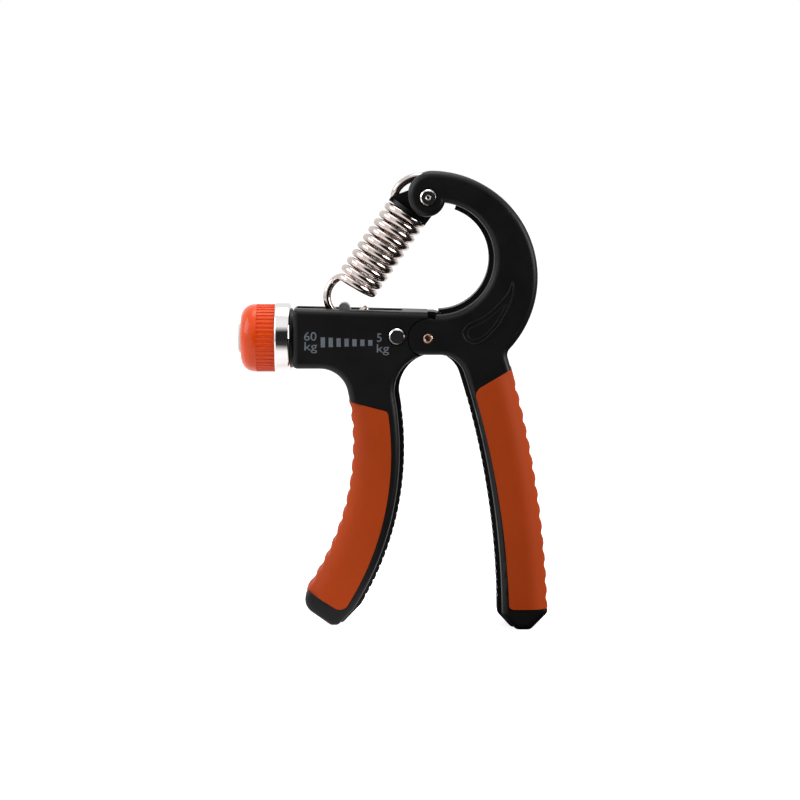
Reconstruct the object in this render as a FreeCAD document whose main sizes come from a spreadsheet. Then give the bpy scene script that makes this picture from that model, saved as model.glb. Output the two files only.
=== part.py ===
import FreeCAD, Part
import math
import os
import Sketcher
from FreeCAD import Placement, Rotation, Vector

# Hand grip strengthener with an adjustable tension spring, in millimetres.
# +X runs from the knob to the curved arm, +Y away from the viewer, +Z up.
# The origin lies under the middle of the object, on the level of its lowest foot.
# Sizes that start with left_ or right_ belong to the handle on that side.
# Places are measured from the hinge axis unless their note says otherwise.

doc = FreeCAD.newDocument("hand_grip_strengthener")
sheet = doc.addObject("Spreadsheet::Sheet", "Sizes")

SIZES = [
    ("pivot_x", 12.1, "hinge axis, right of the origin"),
    ("pivot_z", 101.9, "hinge axis, above the origin"),
    ("handle_width", 22.8, "both handles, front to back"),
    ("edge_round", 2.2, "rounding of the handles' front and back edges"),
    ("lip_width", 8.0, "rib that stands out of the inner edges, front to back"),
    ("lip_depth", 1.6, "how far that rib stands out"),
    ("rib_root", 1.5, "how deep that rib is rooted in the handles"),
    ("right_root_slope", 98.0, "heading of the inner side of the right rib's root, in degrees"),
    ("rib_end", 2.9, "end of the left rib, right of the hinge axis"),
    ("underside", 5.8, "underside of both handles, below the hinge axis"),
    ("housing_left", 47.2, "left end of the housing, left of the hinge axis"),
    ("housing_top", 9.1, "top of the housing over the hinge axis"),
    ("housing_slope", 178.6, "heading of the top, which rises to the left, in degrees"),
    ("housing_bottom", 10.6, "bottom of the housing, below the hinge axis"),
    ("housing_end", 0.2, "right end of the housing's side walls, left of the hinge axis"),
    ("housing_corner", 2.0, "upper left corner of the housing"),
    ("tongue_radius", 9.3, "hinge tongue of the left handle"),
    ("tongue_width", 12.4, "hinge tongue, front to back"),
    ("left_outer_edge", -25.9, "left handle's outer curve, at the height of its centre"),
    ("left_outer_z", -36.9, "centre of the left handle's outer curve"),
    ("left_outer_radius", 90.4, "left handle's outer curve"),
    ("left_inner_edge", -8.2, "left handle's inner curve, at the height of its centre"),
    ("left_inner_z", -39.0, "centre of the left handle's inner curve"),
    ("left_inner_radius", 106.3, "left handle's inner curve"),
    ("left_outer_armpit", 9.9, "fillet from the housing into the left handle"),
    ("left_inner_armpit", 12.6, "fillet from the hinge into the left handle"),
    ("left_heel_round", 5.4, "heel of the left foot"),
    ("left_sole_x", -37.6, "point on the left foot's slanted sole"),
    ("left_sole_z", -97.7, "point on the left foot's slanted sole"),
    ("left_sole_slope", -34.7, "heading of the left sole, in degrees"),
    ("left_foot_bottom", 100.3, "bottom of the left foot, below the hinge axis"),
    ("left_toe_x", -27.1, "point on the left foot's slanted toe"),
    ("left_toe_z", -97.6, "point on the left foot's slanted toe"),
    ("left_toe_slope", 46.0, "heading of the left toe, in degrees"),
    ("arm_inner_x", 3.4, "centre of the curved arm's inner edge"),
    ("arm_inner_z", 27.5, "centre of the curved arm's inner edge"),
    ("arm_inner_radius", 17.8, "inner edge of the curved arm"),
    ("arm_outer_x", 1.3, "centre of the curved arm's outer edge"),
    ("arm_outer_z", 21.0, "centre of the curved arm's outer edge"),
    ("arm_outer_radius", 36.6, "outer edge of the curved arm"),
    ("ear_x", -0.4, "centre of the arm's rounded ears"),
    ("ear_z", 48.2, "centre of the arm's rounded ears"),
    ("ear_radius", 6.3, "lower round of the ears"),
    ("ear_top_round", 8.4, "upper round of the ears"),
    ("throat_x", 2.85, "point on the arm's left edge over the hinge"),
    ("throat_z", 8.0, "point on the arm's left edge over the hinge"),
    ("throat_slope", -108.4, "heading of that edge, in degrees"),
    ("knuckle_radius", 6.8, "hinge ears of the right handle"),
    ("knuckle_gap", 0.3, "running gap round the hinge ears and the tongue"),
    ("right_armpit", 9.2, "fillet from the hinge into the right handle"),
    ("right_inner_x", -260.3, "centre of the right handle's inner curve"),
    ("right_inner_z", -98.5, "centre of the right handle's inner curve"),
    ("right_inner_radius", 284.6, "right handle's inner curve"),
    ("right_outer_x", -310.0, "centre of the right handle's outer curve"),
    ("right_outer_z", -105.9, "centre of the right handle's outer curve"),
    ("right_outer_radius", 351.9, "right handle's outer curve"),
    ("waist_round", 3.0, "notch between the arm and the right handle"),
    ("right_toe_x", 27.2, "point on the right foot's slanted toe"),
    ("right_toe_z", -99.7, "point on the right foot's slanted toe"),
    ("right_toe_slope", -47.0, "heading of the right toe, in degrees"),
    ("right_foot_bottom", 101.9, "bottom of the right foot, below the hinge axis"),
    ("right_heel_x", 38.4, "point on the right foot's slanted heel"),
    ("right_heel_z", -99.3, "point on the right foot's slanted heel"),
    ("right_heel_slope", 45.0, "heading of the right heel, in degrees"),
    ("toe_round", 2.0, "corners of both feet"),
    ("grip_width", 23.8, "soft grips, front to back"),
    ("grip_wall", 3.0, "soft grips, on the outer edge"),
    ("grip_proud", 0.3, "how far the grips stand out of the handles' outer edges"),
    ("grip_round", 7.0, "outer edges of the grips"),
    ("grip_corner", 1.6, "corners of the grips at their fixed ends"),
    ("grip_inner_corner", 3.3, "corners of the grips where they meet the handles' middle"),
    ("core_width", 15.0, "handle core inside the grips, front to back"),
    ("core_reach", 1.5, "how far the core runs on into the handle"),
    ("left_grip_x", -112.4, "centre of the left grip's inner edge"),
    ("left_grip_z", -40.3, "centre of the left grip's inner edge"),
    ("left_grip_radius", 99.6, "left grip's inner edge"),
    ("left_grip_top_x", -20.0, "point on the left grip's top edge"),
    ("left_grip_top_z", -23.8, "point on the left grip's top edge"),
    ("left_grip_top_slope", 165.4, "heading of the left grip's top edge, in degrees"),
    ("left_grip_low_x", -35.4, "point on the left grip's lower edge"),
    ("left_grip_low_z", -92.2, "point on the left grip's lower edge"),
    ("left_grip_low_slope", -31.9, "heading of the left grip's lower edge, in degrees"),
    ("right_grip_x", -273.4, "centre of the right grip's inner edge"),
    ("right_grip_z", -104.1, "centre of the right grip's inner edge"),
    ("right_grip_radius", 301.9, "right grip's inner edge"),
    ("right_grip_top_x", 25.0, "point on the right grip's top edge"),
    ("right_grip_top_z", -12.9, "point on the right grip's top edge"),
    ("right_grip_top_slope", -149.5, "heading of the right grip's top edge, in degrees"),
    ("right_grip_bottom", 94.6, "lower edge of the right grip, below the hinge axis"),
    ("rib_pitch", 5.7, "finger ribs round the outside of the grips"),
    ("rib_depth", 0.6, "valleys between those ribs"),
    ("rib_hollow", 4.0, "radius of a valley"),
    ("left_rib_count", 12, "valleys in the left grip"),
    ("left_rib_start", -32.3, "lowest valley, round the outer curve, in degrees"),
    ("right_rib_count", 14, "valleys in the right grip"),
    ("right_rib_start", 2.4, "lowest valley, round the outer curve, in degrees"),
    ("notch_pitch", 2.8, "fine notches along the inner edges"),
    ("notch_radius", 0.7, "fine notches along the inner edges"),
    ("notch_depth", 0.35, "fine notches along the inner edges"),
    ("left_notch_count", 25, "notches on the left handle"),
    ("left_notch_start", -29.0, "lowest notch, round the inner curve, in degrees"),
    ("right_notch_count", 26, "notches on the right handle"),
    ("right_notch_start", 1.6, "lowest notch, round the inner curve, in degrees"),
    ("screw_z", -0.5, "axis of the adjusting screw, above the hinge axis"),
    ("slot_left", 45.7, "left end of the housing's slot, left of the hinge axis"),
    ("slot_right", 8.9, "right end of the slot, left of the hinge axis"),
    ("slot_width", 8.8, "slot, front to back"),
    ("slot_floor", 7.8, "floor of the slot, below the hinge axis"),
    ("slot_reach", 16.0, "height over the hinge axis that clears the slot's mouth"),
    ("running_gap", 0.05, "radial gap of shafts and pins that turn"),
    ("side_gap", 0.2, "gap beside parts that slide"),
    ("end_gap", 0.1, "gap between faces that turn against each other"),
    ("bush_radius", 5.4, "end bush in the housing"),
    ("bush_depth", 3.0, "how far the end bush reaches into the housing"),
    ("flange_radius", 10.4, "flange of the end bush"),
    ("flange_thickness", 0.5, "flange of the end bush"),
    ("journal_radius", 3.0, "screw where it turns in the end bush"),
    ("thread_radius", 3.5, "threaded stretch of the screw"),
    ("tail_radius", 2.4, "inner end of the screw"),
    ("tail_length", 2.4, "inner end of the screw"),
    ("collar_radius", 4.2, "retaining ring on the screw"),
    ("collar_thickness", 1.0, "retaining ring on the screw"),
    ("block_length", 5.8, "bearing block at the slot's right end"),
    ("block_top", 5.0, "top of the bearing block, above the hinge axis"),
    ("block_rivet_x", -10.75, "rivet through the bearing block"),
    ("block_rivet_z", 0.7, "rivet through the bearing block"),
    ("block_rivet_radius", 1.2, "shank of that rivet"),
    ("rivet_head_radius", 2.85, "domed rivet heads"),
    ("rivet_head_height", 1.0, "domed rivet heads"),
    ("rivet_dish_radius", 1.7, "dish in the rivet heads"),
    ("rivet_dish_depth", 0.45, "dish in the rivet heads"),
    ("rivet_sink", 0.6, "counterbore round the rivet heads"),
    ("rivet_ring", 0.35, "gap round the rivet heads in their counterbore"),
    ("carriage_x", -29.1, "hook pin of the carriage"),
    ("carriage_z", 10.0, "hook pin of the carriage"),
    ("carriage_length", 9.0, "carriage block, along the screw"),
    ("carriage_top", 4.1, "top of the carriage block, above the hinge axis"),
    ("carriage_bottom", 7.4, "bottom of the carriage block, below the hinge axis"),
    ("cheek_gap", 3.4, "space for the hook between the cheeks"),
    ("cheek_radius", 2.0, "rounded ends of the cheeks"),
    ("hook_pin_radius", 1.5, "hook pin of the carriage"),
    ("washer_radius", 8.0, "thrust washer"),
    ("washer_thickness", 0.8, "thrust washer"),
    ("hub_radius", 10.2, "hub of the knob, inside the trim ring"),
    ("ring_radius", 12.25, "trim ring of the knob"),
    ("ring_width", 5.4, "trim ring of the knob"),
    ("ring_round", 0.7, "edges of the trim ring"),
    ("knob_radius", 11.8, "knob"),
    ("knob_length", 11.8, "knob, beyond the ring"),
    ("knob_round", 4.8, "outer edge of the knob"),
    ("flute_count", 46, "flutes round the knob"),
    ("flute_length", 6.3, "flutes, from the ring outwards"),
    ("flute_pitch", 1.6, "flutes, from one to the next"),
    ("flute_radius", 0.7, "flutes"),
    ("flute_depth", 0.4, "flutes"),
    ("cap_radius", 5.2, "end cap of the knob"),
    ("cap_seat", 1.5, "how deep the cap sits in the knob"),
    ("cap_rise", 1.1, "how far the cap stands out"),
    ("cap_round", 0.9, "rounded edge of the cap"),
    ("screw_head_radius", 4.0, "fixing screw under the cap"),
    ("screw_head_height", 2.0, "fixing screw under the cap"),
    ("screw_shank_radius", 1.4, "fixing screw"),
    ("screw_web", 2.0, "wall of the knob between the two screws"),
    ("screw_shank_length", 6.0, "fixing screw, in the adjusting screw"),
    ("hinge_rivet_radius", 1.75, "tubular rivet of the hinge"),
    ("hinge_rivet_bore", 0.95, "hollow ends of the hinge rivet"),
    ("hinge_rivet_hollow", 3.0, "depth of those hollow ends"),
    ("hinge_rivet_proud", 0.15, "how far the hinge rivet stands out"),
    ("hinge_bush_radius", 2.9, "steel bush in the tongue"),
    ("spring_pin_z", 48.6, "rivet between the ears, above the hinge axis"),
    ("spring_pin_radius", 1.85, "rivet between the ears"),
    ("fork_width", 9.0, "space between the ears"),
    ("fork_radius", 10.2, "depth of that space round the rivet"),
    ("seat_hub_radius", 5.0, "hub of the spring seat on the rivet"),
    ("seat_width", 8.4, "spring seat, front to back"),
    ("seat_web_left", 2.5, "upper left corner of the seat's web, across the spring from the rivet"),
    ("seat_web_top", 4.3, "upper left corner of the seat's web, along the spring from the rivet"),
    ("seat_gap", 0.15, "gap between the seat and the wire"),
    ("seat_disc_radius", 7.6, "disc that caps the coil"),
    ("seat_disc_thickness", 1.4, "disc that caps the coil"),
    ("seat_disc_reach", 8.6, "lower face of that disc, from the rivet along the spring"),
    ("seat_plug_radius", 4.7, "plug of the seat inside the coil"),
    ("seat_plug_length", 3.0, "plug of the seat inside the coil"),
    ("axis_offset", 2.9, "how far the spring's axis passes the rivet, on its left"),
    ("hook_reach", 44.4, "lower hook, from the rivet along the spring to the hook's centre"),
    ("hook_radius", 7.2, "lower hook, to the middle of the wire"),
    ("hook_wrap", 165.0, "how far the lower hook bends, in degrees"),
    ("top_hook_radius", 9.5, "upper hook, to the middle of the wire"),
    ("top_hook_x", 0.85, "centre of the upper hook, left of the rivet across the spring"),
    ("top_hook_z", 3.7, "centre of the upper hook, from the rivet along the spring"),
    ("top_hook_wrap", 112.0, "how far the upper hook bends, in degrees"),
    ("hook_tip", 2.8, "straight ends of the wire"),
    ("hook_bend", 3.3, "height in which the wire turns from the coil into a hook"),
    ("spring_slope", 55.0, "axis of the spring, above the level, in degrees"),
    ("coil_start", 4.4, "start of the coil, from the lower hook's centre along the axis"),
    ("coil_radius", 6.5, "coil, to the middle of the wire"),
    ("coil_pitch", 3.27, "step from turn to turn"),
    ("coil_turns", 10, "turns of the coil"),
    ("wire_radius", 1.4, "spring wire"),
]
for row, (alias, value, note) in enumerate(SIZES, 1):
    sheet.set(f"A{row}", note)
    sheet.set(f"B{row}", str(value))
    sheet.setAlias(f"B{row}", alias)
doc.recompute()


# Sums of named sizes, such as "arm_inner_radius + lip_depth"

def number(word):
    """A plain number, one size of the sheet, or its share such as arm_radius/2."""
    name, _, share = word.partition("/")
    value = float(name) if name.replace(".", "").isdigit() else float(sheet.get(name))
    return value / float(share or 1)


def total(words):
    """The value of a sum of named sizes."""
    value, sign = 0.0, 1.0
    for word in words.split():
        if word in "+-":
            sign = -1.0 if word == "-" else 1.0
        else:
            value, sign = value + sign * number(word), 1.0
    return value


def bound(words):
    """The same sum as an expression on the sheet."""
    return " ".join(w if w in "+-" or w.replace(".", "").isdigit() else "Sizes." + w for w in words.split())


# Sketches

def origin_plane(body, role):
    return next(f for f in body.Origin.OriginFeatures if f.Role == role)


def new_body(name, x="pivot_x", z="pivot_z", turned=0.0):
    """A body whose own origin sits on a named axis; turned is in degrees about +Z."""
    body = doc.addObject("PartDesign::Body", name)
    body.Placement = Placement(Vector(total(x), 0, total(z)), Rotation(Vector(0, 0, 1), turned))
    body.setExpression("Placement.Base.x", bound(x))
    body.setExpression("Placement.Base.z", bound(z))
    return body


def new_sketch(body, name, role="XZ_Plane", x=None, z=None):
    """A sketch on an origin plane, with its own origin moved to x, z where these are given."""
    sketch = body.newObject("Sketcher::SketchObject", name)
    sketch.AttachmentSupport = [(origin_plane(body, role), "")]
    sketch.MapMode = "FlatFace"
    if x is not None:
        sketch.AttachmentOffset = Placement(Vector(total(x), total(z), 0), Rotation())
        sketch.setExpression("AttachmentOffset.Base.x", bound(x))
        sketch.setExpression("AttachmentOffset.Base.y", bound(z))
    return sketch


waiting = {}


def hold(sketch, kind, *args, words=""):
    """Keep a constraint, with its sum of sizes, until the sketch is whole."""
    waiting.setdefault(sketch.Name, []).append((kind, args, words))


def bind(sketch, kind, args, words, unit=""):
    """A dimension of the sketch that follows the sheet."""
    value = math.radians(total(words)) if unit else total(words)
    hold(sketch, kind, *args, value, words=f"({bound(words)}){unit}")


def constrain(sketch):
    """Add all constraints of a sketch at once, so that no curve moves on the way."""
    rows = waiting.pop(sketch.Name)
    sketch.addConstraint([Sketcher.Constraint(kind, *args) for kind, args, words in rows])
    for index, row in enumerate(rows):
        if row[2]:
            sketch.setExpression(f"Constraints[{index}]", row[2])


def place(sketch, item, point, x, z):
    """Hold one point of a sketch at x, z."""
    if total(x) == 0 and total(z) == 0:
        hold(sketch, "Coincident", item, point, -1, 1)
        return
    if total(x) == 0:
        hold(sketch, "PointOnObject", item, point, -2)
    else:
        bind(sketch, "DistanceX", (-1, 1, item, point), x)
    if total(z) == 0:
        hold(sketch, "PointOnObject", item, point, -1)
    else:
        bind(sketch, "DistanceY", (-1, 1, item, point), z)


def circle(sketch, radius, x="0", z="0"):
    centre = Vector(total(x), total(z), 0)
    item = sketch.addGeometry(Part.Circle(centre, Vector(0, 0, 1), total(radius)))
    bind(sketch, "Radius", (item,), radius)
    place(sketch, item, 3, x, z)


def polygon(sketch, corners):
    """A closed run of straight lines through corners given as pairs of sums."""
    points = [Vector(total(x), total(z), 0) for x, z in corners]
    for i, point in enumerate(points):
        item = sketch.addGeometry(Part.LineSegment(point, points[(i + 1) % len(points)]))
        place(sketch, item, 1, *corners[i])
    for i in range(len(points)):
        hold(sketch, "Coincident", i, 2, (i + 1) % len(points), 1)


# An outline is a closed chain of lines and arcs, travelled with the material on its left.
# Between two of them stands a joint: a corner, or a fillet that turns left or right.

def level(z, heading):
    return {"kind": "level", "z": z, "heading": heading}


def upright(x, heading):
    return {"kind": "upright", "x": x, "heading": heading}


def slope(x, z, heading):
    return {"kind": "slope", "x": x, "z": z, "heading": heading}


def arc(x, z, radius, turn):
    return {"kind": "arc", "x": x, "z": z, "radius": radius, "turn": turn}


def corner(side):
    return {"radius": "0", "turn": 1, "side": side}


def fillet(radius, turn, side):
    return {"radius": radius, "turn": turn, "side": side}


def curve_of(item):
    """A line as its point and direction, or a circle as its centre and radius."""
    if item["kind"] == "arc":
        return Vector(total(item["x"]), total(item["z"]), 0), total(item["radius"]), item["turn"]
    heading = item["heading"]
    angle = math.radians(total(heading) if isinstance(heading, str) else heading)
    point = Vector(total(item.get("x", "0")), total(item.get("z", "0")), 0)
    return point, Vector(math.cos(angle), math.sin(angle), 0), 0


def moved(curve, turn, radius):
    """The curve set off to its left (turn 1) or right (turn -1) by a radius."""
    if curve[2]:
        return curve[0], curve[1] - turn * curve[2] * radius, curve[2]
    left = Vector(-curve[1].y, curve[1].x, 0)
    return curve[0] + left * (turn * radius), curve[1], 0


def crossings(a, b):
    """Where two lines or circles cross."""
    if a[2] and not b[2]:
        a, b = b, a
    if not b[2]:
        across = a[1].x * b[1].y - a[1].y * b[1].x
        gap = b[0] - a[0]
        return [a[0] + a[1] * ((gap.x * b[1].y - gap.y * b[1].x) / across)]
    if not a[2]:
        foot = a[0] + a[1] * (b[0] - a[0]).dot(a[1])
        half = math.sqrt(b[1] ** 2 - (foot - b[0]).Length ** 2)
        return [foot + a[1] * half, foot - a[1] * half]
    apart = b[0] - a[0]
    along = (a[1] ** 2 - b[1] ** 2 + apart.Length ** 2) / (2 * apart.Length)
    half = math.sqrt(a[1] ** 2 - along ** 2)
    ahead = Vector(apart).normalize()
    return [a[0] + ahead * along + Vector(-ahead.y, ahead.x, 0) * (s * half) for s in (1, -1)]


SIDES = {"left": Vector(-1, 0, 0), "right": Vector(1, 0, 0), "top": Vector(0, 1, 0), "low": Vector(0, -1, 0)}


def touch(curve, shifted, centre):
    """Where a fillet about centre touches the curve."""
    if curve[2]:
        return curve[0] + (centre - curve[0]) * (curve[1] / shifted[1])
    return curve[0] + curve[1] * (centre - curve[0]).dot(curve[1])


def add_arc(sketch, centre, radius, start, end, turn):
    """An arc travelled from start to end, as its number and the numbers of its two ends."""
    angles = [math.atan2(p.y - centre.y, p.x - centre.x) for p in (start, end)]
    if turn < 0:
        angles.reverse()
    if angles[1] <= angles[0]:
        angles[1] += 2 * math.pi
    item = sketch.addGeometry(Part.ArcOfCircle(Part.Circle(centre, Vector(0, 0, 1), radius), *angles))
    return (item, 1, 2) if turn > 0 else (item, 2, 1)


def hold_line(sketch, line, item):
    """Hold a line at its height, its distance, or its point and heading."""
    if item["kind"] == "level":
        hold(sketch, "Horizontal", line)
        bind(sketch, "DistanceY", (-1, 1, line, 1), item["z"])
    elif item["kind"] == "upright":
        hold(sketch, "Vertical", line)
        bind(sketch, "DistanceX", (-1, 1, line, 1), item["x"])
    else:
        point = sketch.addGeometry(Part.Point(Vector(total(item["x"]), total(item["z"]), 0)), True)
        place(sketch, point, 1, item["x"], item["z"])
        hold(sketch, "PointOnObject", point, 1, line)
        bind(sketch, "Angle", (line,), item["heading"], " * 1 deg")


def outline(sketch, chain):
    """Draw a closed chain of curve, joint, curve, joint and so on."""
    items, joints = chain[0::2], chain[1::2]
    curves = [curve_of(item) for item in items]
    meets = []
    for i, joint in enumerate(joints):
        pair = curves[i], curves[(i + 1) % len(curves)]
        radius = total(joint["radius"])
        shifted = [moved(curve, joint["turn"], radius) for curve in pair]
        centre = max(crossings(*shifted), key=lambda point: point.dot(SIDES[joint["side"]]))
        meets.append((centre, [touch(c, s, centre) for c, s in zip(pair, shifted)]))
    drawn = []
    for i, (item, curve) in enumerate(zip(items, curves)):
        start, end = meets[i - 1][1][1], meets[i][1][0]
        if curve[2]:
            drawn.append(add_arc(sketch, curve[0], curve[1], start, end, curve[2]))
            bind(sketch, "Radius", (drawn[-1][0],), item["radius"])
            place(sketch, drawn[-1][0], 3, item["x"], item["z"])
        else:
            line = sketch.addGeometry(Part.LineSegment(start, end))
            drawn.append((line, 1, 2))
            hold_line(sketch, line, item)
    for i, joint in enumerate(joints):
        before, after = drawn[i], drawn[(i + 1) % len(drawn)]
        if joint["radius"] == "0":
            hold(sketch, "Coincident", before[0], before[2], after[0], after[1])
            continue
        centre, ends = meets[i]
        bend = add_arc(sketch, centre, total(joint["radius"]), ends[0], ends[1], joint["turn"])
        hold(sketch, "Tangent", before[0], before[2], bend[0], bend[1])
        hold(sketch, "Tangent", bend[0], bend[2], after[0], after[1])
        bind(sketch, "Radius", (bend[0],), joint["radius"])


# Features of the bodies

def settle(feature):
    """Work a feature out, and stop where it or its sketch fails."""
    sketch = getattr(feature, "Profile", (None,))[0]
    if sketch and sketch.Name in waiting:
        constrain(sketch)
    doc.recompute()
    for item in (sketch, feature):
        if item and not item.isValid():
            raise RuntimeError(f"{item.Label} fails: {item.getStatusString()}")
    return feature


def pad(body, name, sketch, width):
    """Raise a sketch on the XZ plane by half the width to the front and to the back."""
    feature = body.newObject("PartDesign::Pad", name)
    feature.Profile = sketch
    feature.SideType = "Symmetric"
    feature.setExpression("Length", bound(width))
    feature.Length = total(width)
    return settle(feature)


def cut(body, name, sketch, width, middle=True, reverse=False):
    """Cut a sketch out of the body, evenly to both sides or from its plane to one side."""
    before = body.Shape.Volume
    feature = body.newObject("PartDesign::Pocket", name)
    feature.Profile = sketch
    feature.SideType = "Symmetric" if middle else "One side"
    feature.Reversed = reverse
    feature.setExpression("Length", bound(width))
    feature.Length = total(width)
    settle(feature)
    if feature.Shape.Volume > before - 1e-3:
        raise RuntimeError(f"{name} of {body.Label} cuts nothing")
    return feature


def revolve(body, name, sketch, axis="H_Axis"):
    feature = body.newObject("PartDesign::Revolution", name)
    feature.Profile = sketch
    feature.ReferenceAxis = (sketch, [axis])
    feature.Angle = 360
    return settle(feature)


def round_edges(body, name, base, radius, wanted):
    """Round those edges of a feature whose two ends and middle all pass the test."""
    feature = body.newObject("PartDesign::Fillet", name)
    edges = [f"Edge{i}" for i, edge in enumerate(base.Shape.Edges, 1) if wanted(edge)]
    feature.Base = (base, edges)
    feature.setExpression("Radius", bound(radius))
    feature.Radius = total(radius)
    return settle(feature)


def halfway(edge):
    return edge.valueAt((edge.FirstParameter + edge.LastParameter) / 2)


def repeat(body, name, feature, sketch, count, pitch, radius, axis="N_Axis"):
    """Copies of a cut round its sketch's own origin, a pitch apart at a radius."""
    before = feature.Shape.Volume
    pattern = body.newObject("PartDesign::PolarPattern", name)
    pattern.Originals = [feature]
    pattern.Axis = (sketch, [axis])
    pattern.Mode = "Spacing"
    pattern.setExpression("Offset", f"Sizes.{pitch} / ({bound(radius)}) * 1 rad")
    pattern.setExpression("Occurrences", f"Sizes.{count}")
    pattern.Occurrences = int(total(count))
    body.Tip = pattern
    settle(pattern)
    if pattern.Shape.Volume > before - 1e-3:
        raise RuntimeError(f"{name} of {body.Label} repeats nothing")
    return pattern


def spoke_circle(sketch, radius, reach, heading):
    """A circle whose centre lies at a reach and heading from the sketch's origin."""
    angle = math.radians(total(heading))
    end = Vector(math.cos(angle), math.sin(angle), 0) * total(reach)
    spoke = sketch.addGeometry(Part.LineSegment(Vector(0, 0, 0), end), True)
    hold(sketch, "Coincident", spoke, 1, -1, 1)
    bind(sketch, "Distance", (spoke,), reach)
    bind(sketch, "Angle", (spoke,), heading, " * 1 deg")
    item = sketch.addGeometry(Part.Circle(end, Vector(0, 0, 1), total(radius)))
    hold(sketch, "Coincident", item, 3, spoke, 2)
    bind(sketch, "Radius", (item,), radius)


def turned_piece(name, corners, z="pivot_z", plane="XZ_Plane", axis="H_Axis"):
    """A round piece, from corners given as place along its axis and radius."""
    body = new_body(name, z=z)
    sketch = new_sketch(body, name + "_profile", plane)
    polygon(sketch, corners)
    return body, revolve(body, name + "_turned", sketch, axis)


def cross_hole(body, name, radius, x, z, width):
    """A hole from front to back."""
    sketch = new_sketch(body, name + "_sketch")
    circle(sketch, radius, x, z)
    return cut(body, name, sketch, width)


def cut_sides(body, name, draw, depth):
    """Cut the same shape into the front face and the back face of a handle."""
    for side, face, back in (("front", "handle_width/2", False), ("back", "0 - handle_width/2", True)):
        sketch = new_sketch(body, f"{name}_{side}_edge")
        lift_sketch(sketch, face)
        draw(sketch)
        cut(body, f"{name}_{side}", sketch, depth, middle=False, reverse=back)


def sink_heads(body, name, x, z):
    """Counterbores for the two heads of a rivet."""
    cut_sides(body, name, lambda sketch: circle(sketch, "rivet_head_radius + rivet_ring", x, z), "rivet_sink")


def edge_round(body, name, shell):
    """Round the front and back edges of a handle, but not round the hinge."""
    half, hinge = total("handle_width/2"), total("tongue_radius + knuckle_gap")

    def wanted(edge):
        middle = halfway(edge)
        return abs(abs(middle.y) - half) < 1e-4 and math.hypot(middle.x, middle.z) > hinge

    return round_edges(body, name, shell, "edge_round", wanted)


def along_curve(width, radius):
    """The edges of a circle of that radius in the front and the back face."""
    half = total(width) / 2

    def wanted(edge):
        flat = abs(abs(halfway(edge).y) - half) < 1e-4
        return flat and hasattr(edge.Curve, "Radius") and abs(edge.Curve.Radius - total(radius)) < 1e-4

    return wanted


def circle_at(x, radius):
    """The whole circle round the screw's axis at a place along it."""
    return lambda edge: (hasattr(edge.Curve, "Radius") and abs(edge.Curve.Radius - radius) < 1e-4
                         and abs(edge.Curve.Center.x - x) < 1e-4)


def lift_sketch(sketch, reach):
    """Move a sketch away from its plane."""
    sketch.AttachmentOffset = Placement(Vector(0, 0, total(reach)), Rotation())
    sketch.setExpression("AttachmentOffset.Base.z", bound(reach))


def end_bore(body, name, radius, x, depth):
    """A round bore along the screw's axis, from x to the right."""
    sketch = new_sketch(body, name + "_sketch", "YZ_Plane")
    lift_sketch(sketch, x)
    circle(sketch, radius, "0", "screw_z")
    return cut(body, name, sketch, depth, middle=False, reverse=True)


# Left handle: housing, hinge tongue and leg

LEFT_OUTER_X = "left_outer_edge - left_outer_radius"
LEFT_INNER_X = "left_inner_edge - left_inner_radius"


def left_handle_outline():
    """Housing, hinge tongue and leg; the inner edge stands back from the rib."""
    return [
        slope("0", "housing_top", "housing_slope"), fillet("housing_corner", 1, "left"),
        upright("0 - housing_left", -90), fillet("housing_corner", 1, "low"),
        level("0 - housing_bottom", 0), fillet("left_outer_armpit", -1, "right"),
        arc(LEFT_OUTER_X, "left_outer_z", "left_outer_radius", -1), fillet("left_heel_round", 1, "low"),
        slope("left_sole_x", "left_sole_z", "left_sole_slope"), fillet("toe_round", 1, "low"),
        level("0 - left_foot_bottom", 0), fillet("toe_round", 1, "low"),
        slope("left_toe_x - lip_depth", "left_toe_z", "left_toe_slope"), fillet("toe_round", 1, "right"),
        arc(LEFT_INNER_X, "left_inner_z", "left_inner_radius - lip_depth", 1),
        fillet("left_inner_armpit", -1, "right"),
        level("0 - underside", 0), corner("right"),
        arc("0", "0", "tongue_radius", 1), corner("right"),
    ]


def left_rib_outline():
    """Rib along the inner edge, from the toe to the hinge, with its root inside the handle."""
    return [
        level("0 - underside + side_gap", 0), corner("right"),
        upright("rib_end", 90), corner("top"),
        level("0 - underside + rib_root", 180), corner("right"),
        arc(LEFT_INNER_X, "left_inner_z", "left_inner_radius - lip_depth - rib_root", -1), corner("low"),
        upright("left_toe_x - lip_depth - toe_round", -90), corner("low"),
        level("0 - left_foot_bottom", 0), fillet("toe_round", 1, "low"),
        slope("left_toe_x", "left_toe_z", "left_toe_slope"), fillet("toe_round", 1, "right"),
        arc(LEFT_INNER_X, "left_inner_z", "left_inner_radius", 1), fillet("left_inner_armpit", -1, "right"),
    ]


def left_grip_outline(outer, top, low, inner, rounds):
    """Edge of the left grip, or of the core inside it with each side moved."""
    return [
        slope("left_grip_top_x", "left_grip_top_z" + top, "left_grip_top_slope"), corner("right"),
        arc(LEFT_OUTER_X, "left_outer_z", "left_outer_radius" + outer, -1), corner("low"),
        slope("left_grip_low_x", "left_grip_low_z" + low, "left_grip_low_slope"), fillet(rounds, 1, "low"),
        arc("left_grip_x", "left_grip_z", "left_grip_radius" + inner, 1), fillet("grip_corner", 1, "right"),
    ]


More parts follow.
